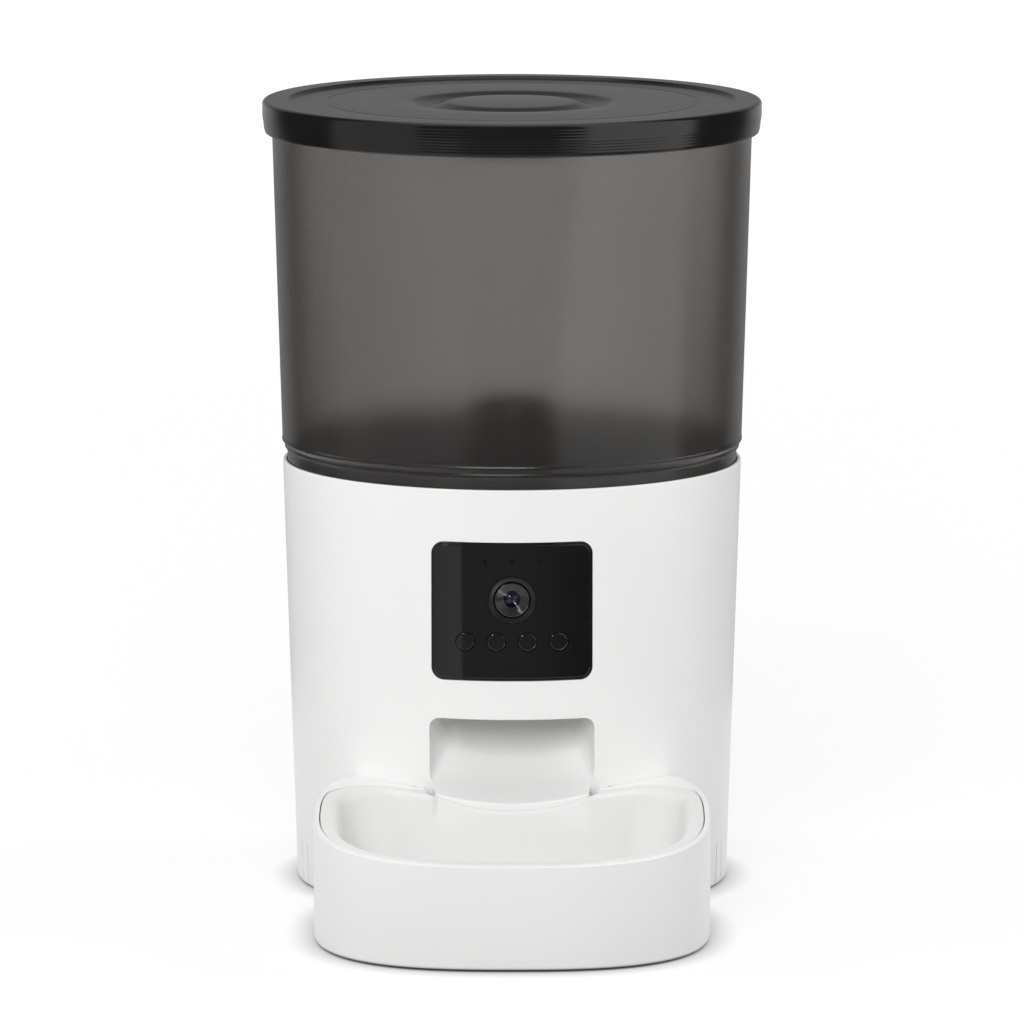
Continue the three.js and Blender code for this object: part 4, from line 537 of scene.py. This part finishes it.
# The openings: the mouth, the panel's with a gap of 0.2 mm, the tray's hooks', and the slits
panel_outline = subdivided(rounded_rect(36.5, 108.4, 172.2, 5.7), 3.0)
cutters = [
    opening_cutter("mouth", mouth_outline(), -70.0),
    opening_cutter("panel_hole", panel_outline, -80.0, 0.25),
    box_cutter(39, 51, -110, -80, 28, 34),
    box_cutter(-51, -39, -110, -80, 28, 34),
]
for side in (-1, 1):
    for angle in SLIT_ANGLES:
        cutters.append(slot_cutter(side * angle, SLIT_HALF, -2, SLIT_TOP))
carve(shell, cutters)
socket_hole = lathe_y("socket_hole", [(0, -5), (4.5, -5), (4.5, 12), (0, 12)], 0, 96, 14, 48)
carve(shell, [socket_hole])
shade(shell, 40, cone_normals(0.0))
dress(shell, WHITE, "feeder", "white_plastic", "body_shell")

# ---------------------------------------------------------------- chute

def ramp_height(d, u):
    """The ramp at d behind the lip's middle and u across, -1 to 1. Its sides rise into a trough,
    and the lip's ends curl up."""
    curl = LIP_CURL * abs(u) ** 1.5 * min(max((25 - d) / 20, 0), 1)
    trough = 12.0 * min(max((d - 10.7) / 81.0, 0), 1) * abs(u) ** 4
    return 53.7 + 0.1 * d + 0.0104 * d * d + trough + curl


def lip_thick(u):
    """The lip thins towards its ends, but for what it gains from their curl."""
    return LIP_THICK * (1 - 0.62 * abs(u) ** 3) + LIP_CURL * abs(u) ** 1.5 * 0.8


def chute_half(y):
    """Half the duct's width. It flares towards the mouth."""
    reach = -y
    if reach > 94.3:
        return MOUTH_HALF
    if reach > 75:
        return DUCT_HALF + (MOUTH_HALF - DUCT_HALF) * (reach - 75) / 19.3
    return DUCT_HALF


def lip_arc(x):
    """How far the lip's front edge is ahead of the axis at x."""
    return LIP_ARC_Y + math.sqrt(LIP_ARC ** 2 - x ** 2)


def chute():
    """A duct of closed sections whose floor runs out into the lip. Rows run from the lip to the
    top, and columns across the floor, up the right side, back over the roof and down the left."""
    back, top, entry = DUCT_BACK, DUCT_TOP, DUCT_ENTRY
    lip_rows, ramp_rows, back_rows, wide, roof_parts = 9, 30, 5, 41, 12
    total = lip_rows + ramp_rows + back_rows
    points, index, faces = [], {}, []

    def put(key, p):
        index[key] = len(points)
        points.append(p)

    def inner_bend(i):
        """The reach of the bend between the floor and a side."""
        return 1.5 + 6.5 * eased(i, lip_rows, lip_rows + 9)

    def floor_point(i, u):
        front = -lip_arc(u * LIP_HALF) + 1.0
        if i <= lip_rows:
            y = front + (entry - front) * i / lip_rows
            half = LIP_HALF + (chute_half(entry) - inner_bend(0) - LIP_HALF) * i / lip_rows
        else:
            y = min(back, entry + (back - entry) * (i - lip_rows) / ramp_rows)
            half = chute_half(y) - inner_bend(i)
        z = ramp_height(LIP_REACH + y, u)
        if i > lip_rows + ramp_rows:
            z += (top - z) * (i - lip_rows - ramp_rows) / back_rows
        return u * half, y, z

    def roof_point(t):
        path = [(-103.5, 91.0), (-98.0, 92.0), (-72.0, 106.0), (-60.0, top)]
        k = min(int(t * 3), 2)
        a, b, share = path[k], path[k + 1], t * 3 - k
        return a[0] + (b[0] - a[0]) * share, a[1] + (b[1] - a[1]) * share

    # Heights up the sides, close together at the bends
    shares = [0.02, 0.05, 0.1, 0.16, 0.24, 0.33, 0.43, 0.55, 0.67, 0.78, 0.86, 0.92, 0.97, 1.0]
    columns = [("floor", -1 + 2 * j / (wide - 1)) for j in range(wide)]
    columns += [("right", h) for h in shares]
    columns += [("roof", 1 - 2 * j / roof_parts) for j in range(1, roof_parts)]
    columns += [("left", h) for h in reversed(shares)]
    n = len(columns)
    for i in range(total + 1):
        for j, (kind, a) in enumerate(columns):
            if kind == "floor":
                put((i, j), floor_point(i, a))
                continue
            if i < lip_rows:
                continue
            t = (i - lip_rows) / (total - lip_rows)
            floor_y, floor_z = floor_point(i, 1.0)[1:]
            roof_y, roof_z = roof_point(t)
            corner = 2.5 + 2.0 * min(1, 4 * t)
            if kind == "roof":
                x, y, z = a * (chute_half(roof_y) - corner), roof_y, roof_z
            else:
                y, z = floor_y + (roof_y - floor_y) * a, floor_z + (roof_z - floor_z) * a
                x = chute_half(y)
                low = 0.10 + 0.23 * eased(i, lip_rows, lip_rows + 9)
                if a < low:
                    x -= inner_bend(i) * (1 - math.sqrt(1 - (1 - a / low) ** 2))
                if a > 0.9:
                    x -= corner * (1 - math.sqrt(max(0, 1 - ((a - 0.9) / 0.1) ** 2)))
                x = -x if kind == "left" else x
            put((i, j), (x, max(y, on_body(x, z, -0.9)[1]), z))
    for i in range(total):
        for j in range(n if i >= lip_rows else wide - 1):
            j2 = (j + 1) % n
            faces.append((index[i, j], index[i, j2], index[i + 1, j2], index[i + 1, j]))

    # The lip: rounded front edge, underside and ends
    turns = [math.radians(18 * k) for k in range(6)]
    strip = [(math.sin(a), 1 - math.cos(a)) for a in turns[1:]] + [(1.0, LIP_THICK / 2)]
    strip += [(math.cos(a), LIP_THICK - 1 + math.sin(a)) for a in turns]
    for k, (ahead, down) in enumerate(strip):
        for j in range(wide):
            x, y, z = points[index[0, j]]
            toward = Vector((x, y + LIP_ARC_Y)).normalized()
            share = lip_thick(2 * j / (wide - 1) - 1) / LIP_THICK
            put(("lip", k, j), (x + toward.x * ahead, y + toward.y * ahead, z - down * share))
    for i in range(1, lip_rows + 1):
        for j in range(wide):
            x, y, z = points[index[i, j]]
            put(("under", i, j), (x, y, z - lip_thick(2 * j / (wide - 1) - 1)))

    def key(k, j):
        """Row k under the lip's edge: the edge, the strip, then the underside."""
        if k == 0:
            return index[0, j]
        if k <= len(strip):
            return index["lip", k - 1, j]
        return index["under", k - len(strip), j]

    for k in range(len(strip) + lip_rows):
        for j in range(wide - 1):
            faces.append((key(k, j), key(k, j + 1), key(k + 1, j + 1), key(k + 1, j)))
    for j in (0, wide - 1):
        faces.append(tuple(key(k, j) for k in range(len(strip) + 1)))
        for i in range(lip_rows):
            faces.append((index[i, j], index[i + 1, j],
                          key(len(strip) + i + 1, j), key(len(strip) + i, j)))
    return make("food_slide", points, faces, merge=0.002)


slide = shade(chute(), 45)
dress(slide, WHITE, "feeder", "white_plastic", "food_chute")

# ---------------------------------------------------------------- panel, buttons and camera

def patch(name, shape, levels, rings):
    """A thin piece whose front follows the body's wall. shape(inset) gives its outline, and levels
    are pairs of inset and height over the wall, from its back to the edge of its front face."""
    middle = sum(z for x, z in shape(0)) / len(shape(0))
    centre = sum(x for x, z in shape(0)) / len(shape(0))
    layers = [[on_body(x, z, rise) for x, z in shape(inset)] for inset, rise in levels]
    inset, front = levels[-1]
    inner = shape(inset)
    for k in range(1, rings):
        share = 1 - k / rings
        layers.append([on_body(centre + (x - centre) * share, middle + (z - middle) * share, front)
                       for x, z in inner])
    return loft(name, layers)


def round_over(inset, front, radius, steps=6):
    """Levels of a rounded edge that ends at height front."""
    return [(inset + radius * (1 - math.cos(math.pi / 2 * k / steps)),
             front - radius + radius * math.sin(math.pi / 2 * k / steps)) for k in range(steps + 1)]


def disc(x, z, radius, count=64):
    """The shape function of a round patch."""
    def shape(inset):
        r = radius - inset
        turns = [2 * math.pi * k / count for k in range(count)]
        return [(x + r * math.cos(a), z + r * math.sin(a)) for a in turns]
    return shape


def panel_shape(inset):
    """The panel's outline, moved in by inset from the line or corner's centre nearest to it."""
    base = subdivided(rounded_rect(PANEL_HALF, PANEL_LOW, PANEL_HIGH, PANEL_CORNER, 10), 3.0)
    wide, tall = PANEL_HALF - PANEL_CORNER, (PANEL_HIGH - PANEL_LOW) / 2 - PANEL_CORNER
    middle = (PANEL_HIGH + PANEL_LOW) / 2
    out = []
    for x, z in base:
        cx = max(-wide, min(wide, x))
        cz = middle + max(-tall, min(tall, z - middle))
        away = math.hypot(x - cx, z - cz)
        share = (away - inset) / away
        out.append((cx + (x - cx) * share, cz + (z - cz) * share))
    return out


def drill(name, radius, x, z, sides):
    """A cutter right through the panel."""
    return lathe_y(name, [(0, -12), (radius, -12), (radius, 12), (0, 12)], x, -100, z, sides)


# The panel's edge: a step all round, and the front face's own rounded edge
PANEL_BACK, STEP_DROP, EDGE_R = -2.7, 0.7, 0.7
panel_levels = [(0.0, PANEL_BACK)] + round_over(0.0, PANEL_PROUD - STEP_DROP, 0.3)
panel_levels += [(0.85, PANEL_PROUD - STEP_DROP)] + round_over(0.9, PANEL_PROUD, EDGE_R)
panel = patch("front_panel", panel_shape, panel_levels, 26)
button_xs = [BUTTON_PITCH * (k - 1.5) for k in range(4)]
holes = [drill("ring_hole", 11.0, 0, LENS_Z, 96)]
holes += [drill("key_hole", BUTTON_R + BUTTON_GAP, x, BUTTON_Z, 64) for x in button_xs]
pin_loop = [(0, -2), (PIN_R, -2), (PIN_R, 1.9), (0.3, 2.2), (0, 2.2)]
for x in (-PIN_PITCH, 0.0, PIN_PITCH):
    holes.append(lathe_y("pin_hole", pin_loop, x, on_body(x, PIN_Z, PANEL_PROUD)[1], PIN_Z, 24))
carve(panel, holes)
shade(panel, 35, cone_normals(PANEL_PROUD))
dress(panel, GLOSS, "feeder", "gloss_black_plastic", "control_panel")

key_proud = PANEL_PROUD + BUTTON_PROUD
for k, x in enumerate(button_xs):
    cap = patch(f"key_{k + 1}", disc(x, BUTTON_Z, BUTTON_R),
                [(0.0, PANEL_BACK)] + round_over(0.0, key_proud, EDGE_R), 8)
    shade(cap, 35, cone_normals(key_proud, 0.02))
    dress(cap, KEY, f"button_{k + 1}", "gloss_black_plastic", f"button_{k + 1}")

bezel_loop = rounded([(8.25, 4.0), (8.25, 0.45, 0.25), (8.6, -0.2, 0.3), (10.2, -0.6, 0.35),
                      (10.7, -0.1, 0.25), (10.7, 4.0)], 5)
ring = lathe_y("camera_bezel", bezel_loop, 0, BEZEL_Y, LENS_Z, 128)
dress(shade(ring, 50), RING, "feeder", "black_plastic", "camera_ring")


def barrel_profile():
    """A rounded rim, then fine beads down the cone."""
    beads, parts = 7, 6
    rim_loop = [(7.8, 5), (7.8, -0.1, 0.35), (7.2, -0.1, 0.25), (7.1, 0.6)]
    loop = [(7.8, 9.4)] + rounded(rim_loop, 5, False)[1:-1]
    for k in range(beads * parts + 1):
        t = k / (beads * parts)
        swell = 0.16 * abs(math.sin(math.pi * beads * t))
        loop.append((7.1 - 3.4 * t - 0.66 * swell, 0.5 + 2.9 * t - 0.75 * swell))
    return loop + [(3.68, 5.4), (0, 5.4), (0, 9.4)]


barrel = lathe_y("camera_barrel", barrel_profile(), 0, BEZEL_Y, LENS_Z, 128)
dress(shade(barrel, 45), TURNED, "feeder", "black_plastic", "lens_barrel")

dome = [(0, 5.2), (GLASS_R, 5.2), (GLASS_R, 4.0)]
for k in range(17):
    r = GLASS_R * (1 - k / 16)
    dome.append((r, 1.8 + 2.1 * (r / GLASS_R) ** 2))
glass = lathe_y("camera_glass", dome, 0, BEZEL_Y, LENS_Z, 96)
dress(shade(glass, 40), LENS, "feeder", "lens_glass", "camera_lens")

# ---------------------------------------------------------------- tray and bowl

def tray_curve(angle, inset):
    """Point and outward direction of the tray's plan. Angle 0 is at the front."""
    s, c = math.sin(angle), math.cos(angle)
    reach = ((abs(s) / TRAY_X) ** TRAY_POWER + (abs(c) / TRAY_Y) ** TRAY_POWER) ** (-1 / TRAY_POWER)
    x, y = reach * s, -reach * c
    gx = math.copysign((abs(x) / TRAY_X) ** (TRAY_POWER - 1) / TRAY_X, x)
    gy = math.copysign((abs(y) / TRAY_Y) ** (TRAY_POWER - 1) / TRAY_Y, y)
    size = math.hypot(gx, gy)
    gx, gy = gx / size, gy / size
    return x - inset * gx, y + TRAY_CENTRE - inset * gy, gx, gy


def outline(inset, back, corner, front_steps=56, corner_steps=12, back_steps=96):
    """A closed ring: inset from the tray's plan in front, round the body at radius back behind,
    and with rounded corners between. All rings have the same number of points."""
    low, high = math.radians(60), math.radians(178)
    for _ in range(50):  # halves the range to the angle at which the corner meets the back
        mid = (low + high) / 2
        x, y = tray_curve(mid, inset + corner)[:2]
        if math.hypot(x, y) > back + corner:
            low = mid
        else:
            high = mid
    end = (low + high) / 2
    half = [tray_curve(end * k / front_steps, inset)[:2] for k in range(front_steps)]
    x, y, gx, gy = tray_curve(end, inset + corner)
    start = math.atan2(gy, gx)
    stop = math.atan2(-y, -x)
    while stop < start:
        stop += 2 * math.pi
    for k in range(corner_steps + 1):
        a = start + (stop - start) * k / corner_steps
        half.append((x + corner * math.cos(a), y + corner * math.sin(a)))
    edge = math.atan2(half[-1][0], -half[-1][1])
    for k in range(1, back_steps + 1):
        a = edge * (1 - k / back_steps)
        half.append((back * math.sin(a), -back * math.cos(a)))
    return half + [(-px, py) for px, py in reversed(half[1:-1])]


def lerp_rings(one, two, share):
    return [(a[0] + (b[0] - a[0]) * share, a[1] + (b[1] - a[1]) * share)
            for a, b in zip(one, two)]


def rim(y):
    """The height of the tray's and the bowl's rim, which rises towards the back."""
    return 47.4 + 0.08 * (y + 229.3)


def ramped(value, low, high):
    """A straight ramp from 0 to 1 with lightly rounded ends."""
    t = min(1, max(0, (value - low) / (high - low)))
    return t + 0.35 * (eased(t, 0, 1) - t)


def notched(x, y, low, start, ramp):
    """The rim's height, but low in the notch for the chute's lip, which lies behind start. The
    notch ends in ramps between the two distances from the middle."""
    if y < start:
        return rim(y)
    return low + (rim(y) - low) * ramped(abs(x), *ramp)


def tray_top(x, y):
    return notched(x, y, TRAY_NOTCH_Z, -125, (36.4, 39.4))


def bowl_top(x, y):
    return notched(x, y, 49.0 + 0.83 * min(1, abs(x) / 37.0) ** 2, BOWL_NOTCH_Y, BOWL_RAMP)


def bowl_crest(x, y):
    """The notch's front edge stands up against the chute's lip, so no gap is seen under it."""
    u = min(1, abs(x) / LIP_HALF)
    ahead = lip_arc(u * LIP_HALF)
    past = max(0, math.hypot(x, y) - ahead)
    low = ramp_height(LIP_REACH - ahead, u) - lip_thick(u) + 1.0 + 0.152 * past
    return notched(x, y, low, BOWL_NOTCH_Y, BOWL_RAMP)


def cavity_top(x, y):
    """The rim rolls softly into the bowl, and tightly at the notch."""
    return bowl_crest(x, y) - 2.6 - 4.0 * eased(math.hypot(x, y), 116, 128)


def height_at(height, x, y):
    """Heights are numbers or functions of x and y."""
    return height(x, y) if callable(height) else height


def lift(ring, height):
    return [(x, y, height_at(height, x, y)) for x, y in ring]


def below(top, drop):
    return lambda x, y: top(x, y) - drop


def between(ring_a, ring_b, z_a, z_b, across, up):
    """A row at the share across of the way from ring_a to ring_b, and up of that in height."""
    row = []
    for x, y in lerp_rings(ring_a, ring_b, across):
        a, b = height_at(z_a, x, y), height_at(z_b, x, y)
        row.append((x, y, a + (b - a) * up))
    return row


def wall_rows(ring_a, ring_b, z_a, z_b, count):
    """Rows of a straight wall from ring_a to ring_b."""
    return [between(ring_a, ring_b, z_a, z_b, k / count, k / count) for k in range(count + 1)]


def arc(ring_a, ring_b, z_a, z_b, first, count=5):
    """Quarter-round rows from ring_a to ring_b. first is 'up' or 'in': the way the arc starts."""
    out = []
    for k in range(1, count):
        a = math.pi / 2 * k / count
        early, late = math.sin(a), 1 - math.cos(a)
        across, up = (late, early) if first == "up" else (early, late)
        out.append(between(ring_a, ring_b, z_a, z_b, across, up))
    return out


def tray_rows():
    """From under the sole up the outside, over the rim and down into the well."""
    foot = body_radius(2.2) + 0.4
    outer_low = outline(0, foot, 5)
    outer_high = outline(0, body_radius(50) + 0.4, 5)
    sole = outline(1.3, foot + 1.3, 5)
    well = outline(2.6, 106, 22)
    well_foot = outline(5.2, 108.6, 22)
    rim_out = lerp_rings(outer_high, well, 0.27)
    rim_in = lerp_rings(outer_high, well, 0.85)
    rows = [lift(outline(6, foot + 6, 6), 1.0), lift(sole, 1.0)]
    rows += arc(sole, outer_low, 1.0, 2.3, "in")
    rows += wall_rows(outer_low, outer_high, 2.3, below(tray_top, 0.7), 8)
    rows += arc(outer_high, rim_out, below(tray_top, 0.7), tray_top, "up")
    rows += [lift(rim_out, tray_top), lift(rim_in, tray_top)]
    rows += arc(rim_in, well, tray_top, below(tray_top, 0.4), "in", 4)
    rows += wall_rows(well, well, below(tray_top, 0.4), 5.8, 6)
    rows += arc(well, well_foot, 5.8, TRAY_FLOOR_Z, "up")
    rows += [lift(well_foot, TRAY_FLOOR_Z)]
    return rows


def bowl_rows():
    """From under the foot up the outside, over the rim and down into the cavity."""
    foot = outline(10.1, 115.7, 18)
    wall_low = outline(7.1, 112.7, 20)
    lip = outline(3.0, 107, 22)
    lip_in = outline(3.6, 107.6, 22)
    lip_top = outline(3.7, 107.7, 22)
    step = outline(6.3, 112.4, 20)
    crown = outline(6.6, 112.75, 20)
    cavity = outline(11.2, 114.7, 16)
    low = outline(15.0, 115.6, 14)
    floor = outline(26.0, 128.0, 12)
    rows = [lift(outline(20, 124, 18), BOWL_FOOT_Z), lift(foot, BOWL_FOOT_Z)]
    rows += arc(foot, wall_low, BOWL_FOOT_Z, 6.5, "in")
    rows += wall_rows(wall_low, wall_low, 6.5, below(bowl_top, 2.2), 5)
    rows += [lift(lip_in, below(bowl_top, 2.2))]
    rows += arc(lip_in, lip, below(bowl_top, 2.2), below(bowl_top, 1.6), "in", 3)
    rows += [lift(lip, below(bowl_top, 1.6)), lift(lip, below(bowl_top, 0.7))]
    rows += arc(lip, lip_top, below(bowl_top, 0.7), bowl_top, "up", 4)
    rows += [lift(lip_top, bowl_top), lift(step, bowl_top), lift(crown, bowl_crest)]
    rows += arc(crown, cavity, bowl_crest, cavity_top, "in", 9)
    rows += wall_rows(cavity, low, cavity_top, 20.0, 12)
    rows += arc(low, floor, 20.0, BOWL_FLOOR_Z, "up", 10)
    rows += [lift(floor, BOWL_FLOOR_Z)]
    return [[set_back(p) for p in row] for row in rows]


def set_back(p):
    """In the notch the bowl's wall follows the lip's arc at its top, with a crease at each end."""
    x, y, z = p
    r = math.hypot(x, y)
    foot_z, crown_r = 44, 112.8
    if y < BOWL_NOTCH_Y or not 112.3 < r < 121 or z < foot_z:
        return p
    u = min(abs(x), LIP_HALF)
    reach = math.hypot(u, lip_arc(u))
    share = 1 - ramped(abs(x), LIP_HALF, 36.2)
    share *= min(1, (z - foot_z) / 9 if r > crown_r else 1)
    back = r - max(0, LIP_REACH + 0.3 - reach) * share
    return x * back / r, y * back / r, z


tray = shade(loft("bowl_holder", tray_rows()), 40)
dress(tray, WHITE, "tray", "white_plastic", "bowl_tray")
# The bowl wears the darker white, which is painted shade
bowl = shade(loft("lift_out_bowl", bowl_rows()), 40)
dress(bowl, WHITE_SHADED, "bowl", "white_plastic", "food_bowl")

# ---------------------------------------------------------------- floor, cards, lamps and camera

def light_path(tree, *kinds):
    """1 for the named kinds of ray, else 0."""
    path = tree.nodes.new("ShaderNodeLightPath")
    value = path.outputs[kinds[0]]
    for kind in kinds[1:]:
        node = tree.nodes.new("ShaderNodeMath")
        node.operation = "MAXIMUM"
        tree.links.new(value, node.inputs[0])
        tree.links.new(path.outputs[kind], node.inputs[1])
        value = node.outputs[0]
    return value


def mix_by_ray(tree, kinds, other, chosen):
    """Shows the shader chosen to the named kinds of ray, and the shader other to the rest."""
    mix = tree.nodes.new("ShaderNodeMixShader")
    tree.links.new(light_path(tree, *kinds), mix.inputs[0])
    tree.links.new(other.outputs[0], mix.inputs[1])
    tree.links.new(chosen.outputs[0], mix.inputs[2])
    tree.links.new(mix.outputs[0], tree.nodes.new("ShaderNodeOutputMaterial").inputs[0])


AMBIENT = 0.56
FLOOR_TONE = 0.36
# Near and far values, and the distances in metres between which they change
FLOOR_GLOW, GLOW_AT = (0.65, 0.85), (0.4, 3.5)
FLOOR_BOUNCE, BOUNCE_AT = (0.26, 0.62), (0.2, 0.5)
FLOOR_HALF = 30
SEEN_RAYS = ("Is Camera Ray", "Is Glossy Ray", "Is Transmission Ray")

# The world is white where it is seen, and lights the object with AMBIENT
world = bpy.data.worlds.new("studio")
scene.world = world
world.use_nodes = True
tree = world.node_tree
tree.nodes.clear()
sky = tree.nodes.new("ShaderNodeBackground")
strength = spread(tree, light_path(tree, *SEEN_RAYS), AMBIENT, 1.0, (0, 1))
tree.links.new(strength, sky.inputs["Strength"])
sky.inputs["Color"].default_value = (1, 1, 1, 1)
tree.links.new(sky.outputs[0], tree.nodes.new("ShaderNodeOutputWorld").inputs[0])


def stage_mesh(name, points, faces, material):
    """A mesh of the studio, in metres."""
    mesh = bpy.data.meshes.new(name)
    mesh.from_pydata(points, [], faces)
    mesh.materials.append(material)
    obj = bpy.data.objects.new(name, mesh)
    scene.collection.objects.link(obj)
    return obj


# The floor glows pale where it is seen, with the object's shadow and a painted contact shade, and
# else is plain paper
paper, tree = blank_material("floor_paper")
plain = tree.nodes.new("ShaderNodeBsdfDiffuse")
seen = tree.nodes.new("ShaderNodeBsdfDiffuse")
seen.inputs["Color"].default_value = (FLOOR_TONE, FLOOR_TONE, FLOOR_TONE, 1)
glow = tree.nodes.new("ShaderNodeEmission")
# Painted contact shade: ambient occlusion dims the floor's glow where the object stands
near = tree.nodes.new("ShaderNodeAmbientOcclusion")  # a dark line where the object stands
near.inputs["Distance"].default_value = 0.014
near.samples = 8
where = tree.nodes.new("ShaderNodeTexCoord").outputs["Object"]
away = tree.nodes.new("ShaderNodeVectorMath")
away.operation = "LENGTH"
tree.links.new(where, away.inputs[0])
bounce = spread(tree, away.outputs["Value"], *FLOOR_BOUNCE, BOUNCE_AT)
tree.links.new(bounce, plain.inputs["Color"])
level = spread(tree, away.outputs["Value"], *FLOOR_GLOW, GLOW_AT)
# The glow is dimmed by the painted contact shade
dim = tree.nodes.new("ShaderNodeMath")
dim.operation = "MULTIPLY"
tree.links.new(near.outputs["AO"], dim.inputs[0])
tree.links.new(level, dim.inputs[1])
tree.links.new(dim.outputs[0], glow.inputs["Strength"])
both = tree.nodes.new("ShaderNodeAddShader")
tree.links.new(seen.outputs[0], both.inputs[0])
tree.links.new(glow.outputs[0], both.inputs[1])
mix_by_ray(tree, SEEN_RAYS, plain, both)
stage_mesh("floor", [(-FLOOR_HALF, -FLOOR_HALF, 0), (FLOOR_HALF, -FLOOR_HALF, 0),
                     (FLOOR_HALF, FLOOR_HALF, 0), (-FLOOR_HALF, FLOOR_HALF, 0)],
           [(0, 1, 2, 3)], paper)


def surround_value(angle, z):
    """What reflections see around the object. angle is in degrees from the front, plus to the
    right, and z in metres. There is a dim glow in front, a soft box to each side with a sharp
    inner edge, a pale back that is palest about the lid's height, and white overhead."""
    side = abs(angle)
    upper = eased(z, 0.2, 0.28)
    value = 0.05 + 0.15 * eased(-angle, -38, 2) * (1 - eased(side, 22, 50)) * (1 - 0.7 * upper)
    if angle < 0:
        edge = 22.2 - 4 * eased(z, 0.12, 0.17) + 20 * eased(z, 0.18, 0.29)
        end = 84 - 6 * upper
        value += 0.42 * eased(side, edge, edge + 1.5) * (1 - eased(side, end, end + 6))
    else:
        edge = 19 + 11 * min(1, max(0, z - 0.18) / 0.11)
        box = eased(side, edge, edge + 1.5) * (1 - eased(side, 80, 87))
        value += 1.10 * box * eased(z, 0.08, 0.12)
    over_lid = eased(z, 0.36, 0.4)
    behind = 0.28 + 0.22 * eased(z, 0.27, 0.33) * (1 - over_lid) - 0.03 * over_lid
    value += behind * eased(side, 118, 138) - 0.06 * eased(side, 150, 165)
    return value + (1 - value) * eased(z, 0.9, 1.5)


def make_surround(radius=0.5, high=1.6, parts=480, rows=64):
    """A studio surround that only reflections see: dark in front, with a soft box to each side."""
    points, values = [], []
    for i in range(rows + 1):
        z = high * (i / rows) ** 1.6
        for k in range(parts):
            angle = 360.0 * k / parts - 180
            a = math.radians(angle)
            points.append((radius * math.sin(a), AXIS_Y * MM - radius * math.cos(a), z))
            values.append(surround_value(angle, z))
    material, tree = blank_material("surround")
    source = tree.nodes.new("ShaderNodeAttribute")
    source.attribute_name = "glow"
    emission = tree.nodes.new("ShaderNodeEmission")
    tree.links.new(source.outputs["Fac"], emission.inputs["Strength"])
    mix_by_ray(tree, ("Is Transmission Ray",), emission,
               tree.nodes.new("ShaderNodeBsdfTransparent"))
    obj = stage_mesh("surround", points, grid_faces(rows + 1, parts, False, True), material)
    glow = obj.data.attributes.new("glow", "FLOAT", "POINT")
    glow.data.foreach_set("value", values)
    obj.visible_camera = False
    obj.visible_diffuse = False
    obj.visible_transmission = False
    obj.visible_volume_scatter = False
    obj.visible_shadow = False


make_surround()


def lamp(name, place, target, size, power):
    """An area lamp that gloss doesn't mirror."""
    data = bpy.data.lights.new(name, "AREA")
    data.shape = "RECTANGLE"
    data.size, data.size_y = size
    data.energy = power
    obj = bpy.data.objects.new(name, data)
    scene.collection.objects.link(obj)
    obj.location = place
    obj.rotation_euler = (Vector(target) - Vector(place)).to_track_quat("-Z", "Y").to_euler()
    obj.visible_glossy = False
    return obj


LENS_PLACE, BODY_PLACE = (0, -0.046, 0.146), (0, 0, 0.15)

# Two small lamps that only gloss mirrors, in a narrow beam at the camera's lens
for name, place, power in (("lamp_glint_left", (-0.231, -0.308, 0.381), 0.009),
                           ("lamp_glint_right", (0.126, -0.258, 0.016), 0.0022)):
    glint = lamp(name, place, LENS_PLACE, (0.085, 0.085), power)
    glint.data.spread = math.radians(12)
    glint.visible_glossy = True
    glint.visible_camera = False
    glint.visible_diffuse = False
    glint.visible_transmission = False
lamp("lamp_front", (-0.3, -2.1, 1.22), BODY_PLACE, (1.4, 1.2), 30.5)
lamp("lamp_left", (-1.8, 0.5, 0.75), BODY_PLACE, (1.0, 1.4), 13.0)
lamp("lamp_right", (1.8, 0.5, 0.75), BODY_PLACE, (1.0, 1.4), 14.2)

# The photograph's camera: place, angle and focal length as solved from its ellipses
EYE_PLACE, EYE_DOWN, EYE_LENS = (0.0, -3.89705, 0.7721), 8.653, 303.34
camera = bpy.data.cameras.new("camera")
camera.sensor_width = 36.0
camera.lens = EYE_LENS
camera.clip_start = 0.1
camera.clip_end = 100.0
eye = bpy.data.objects.new("camera", camera)
scene.collection.objects.link(eye)
eye.location = EYE_PLACE
eye.rotation_euler = (math.radians(90 - EYE_DOWN), 0.0, 0.0)
scene.camera = eye
scene.view_settings.view_transform = "Standard"
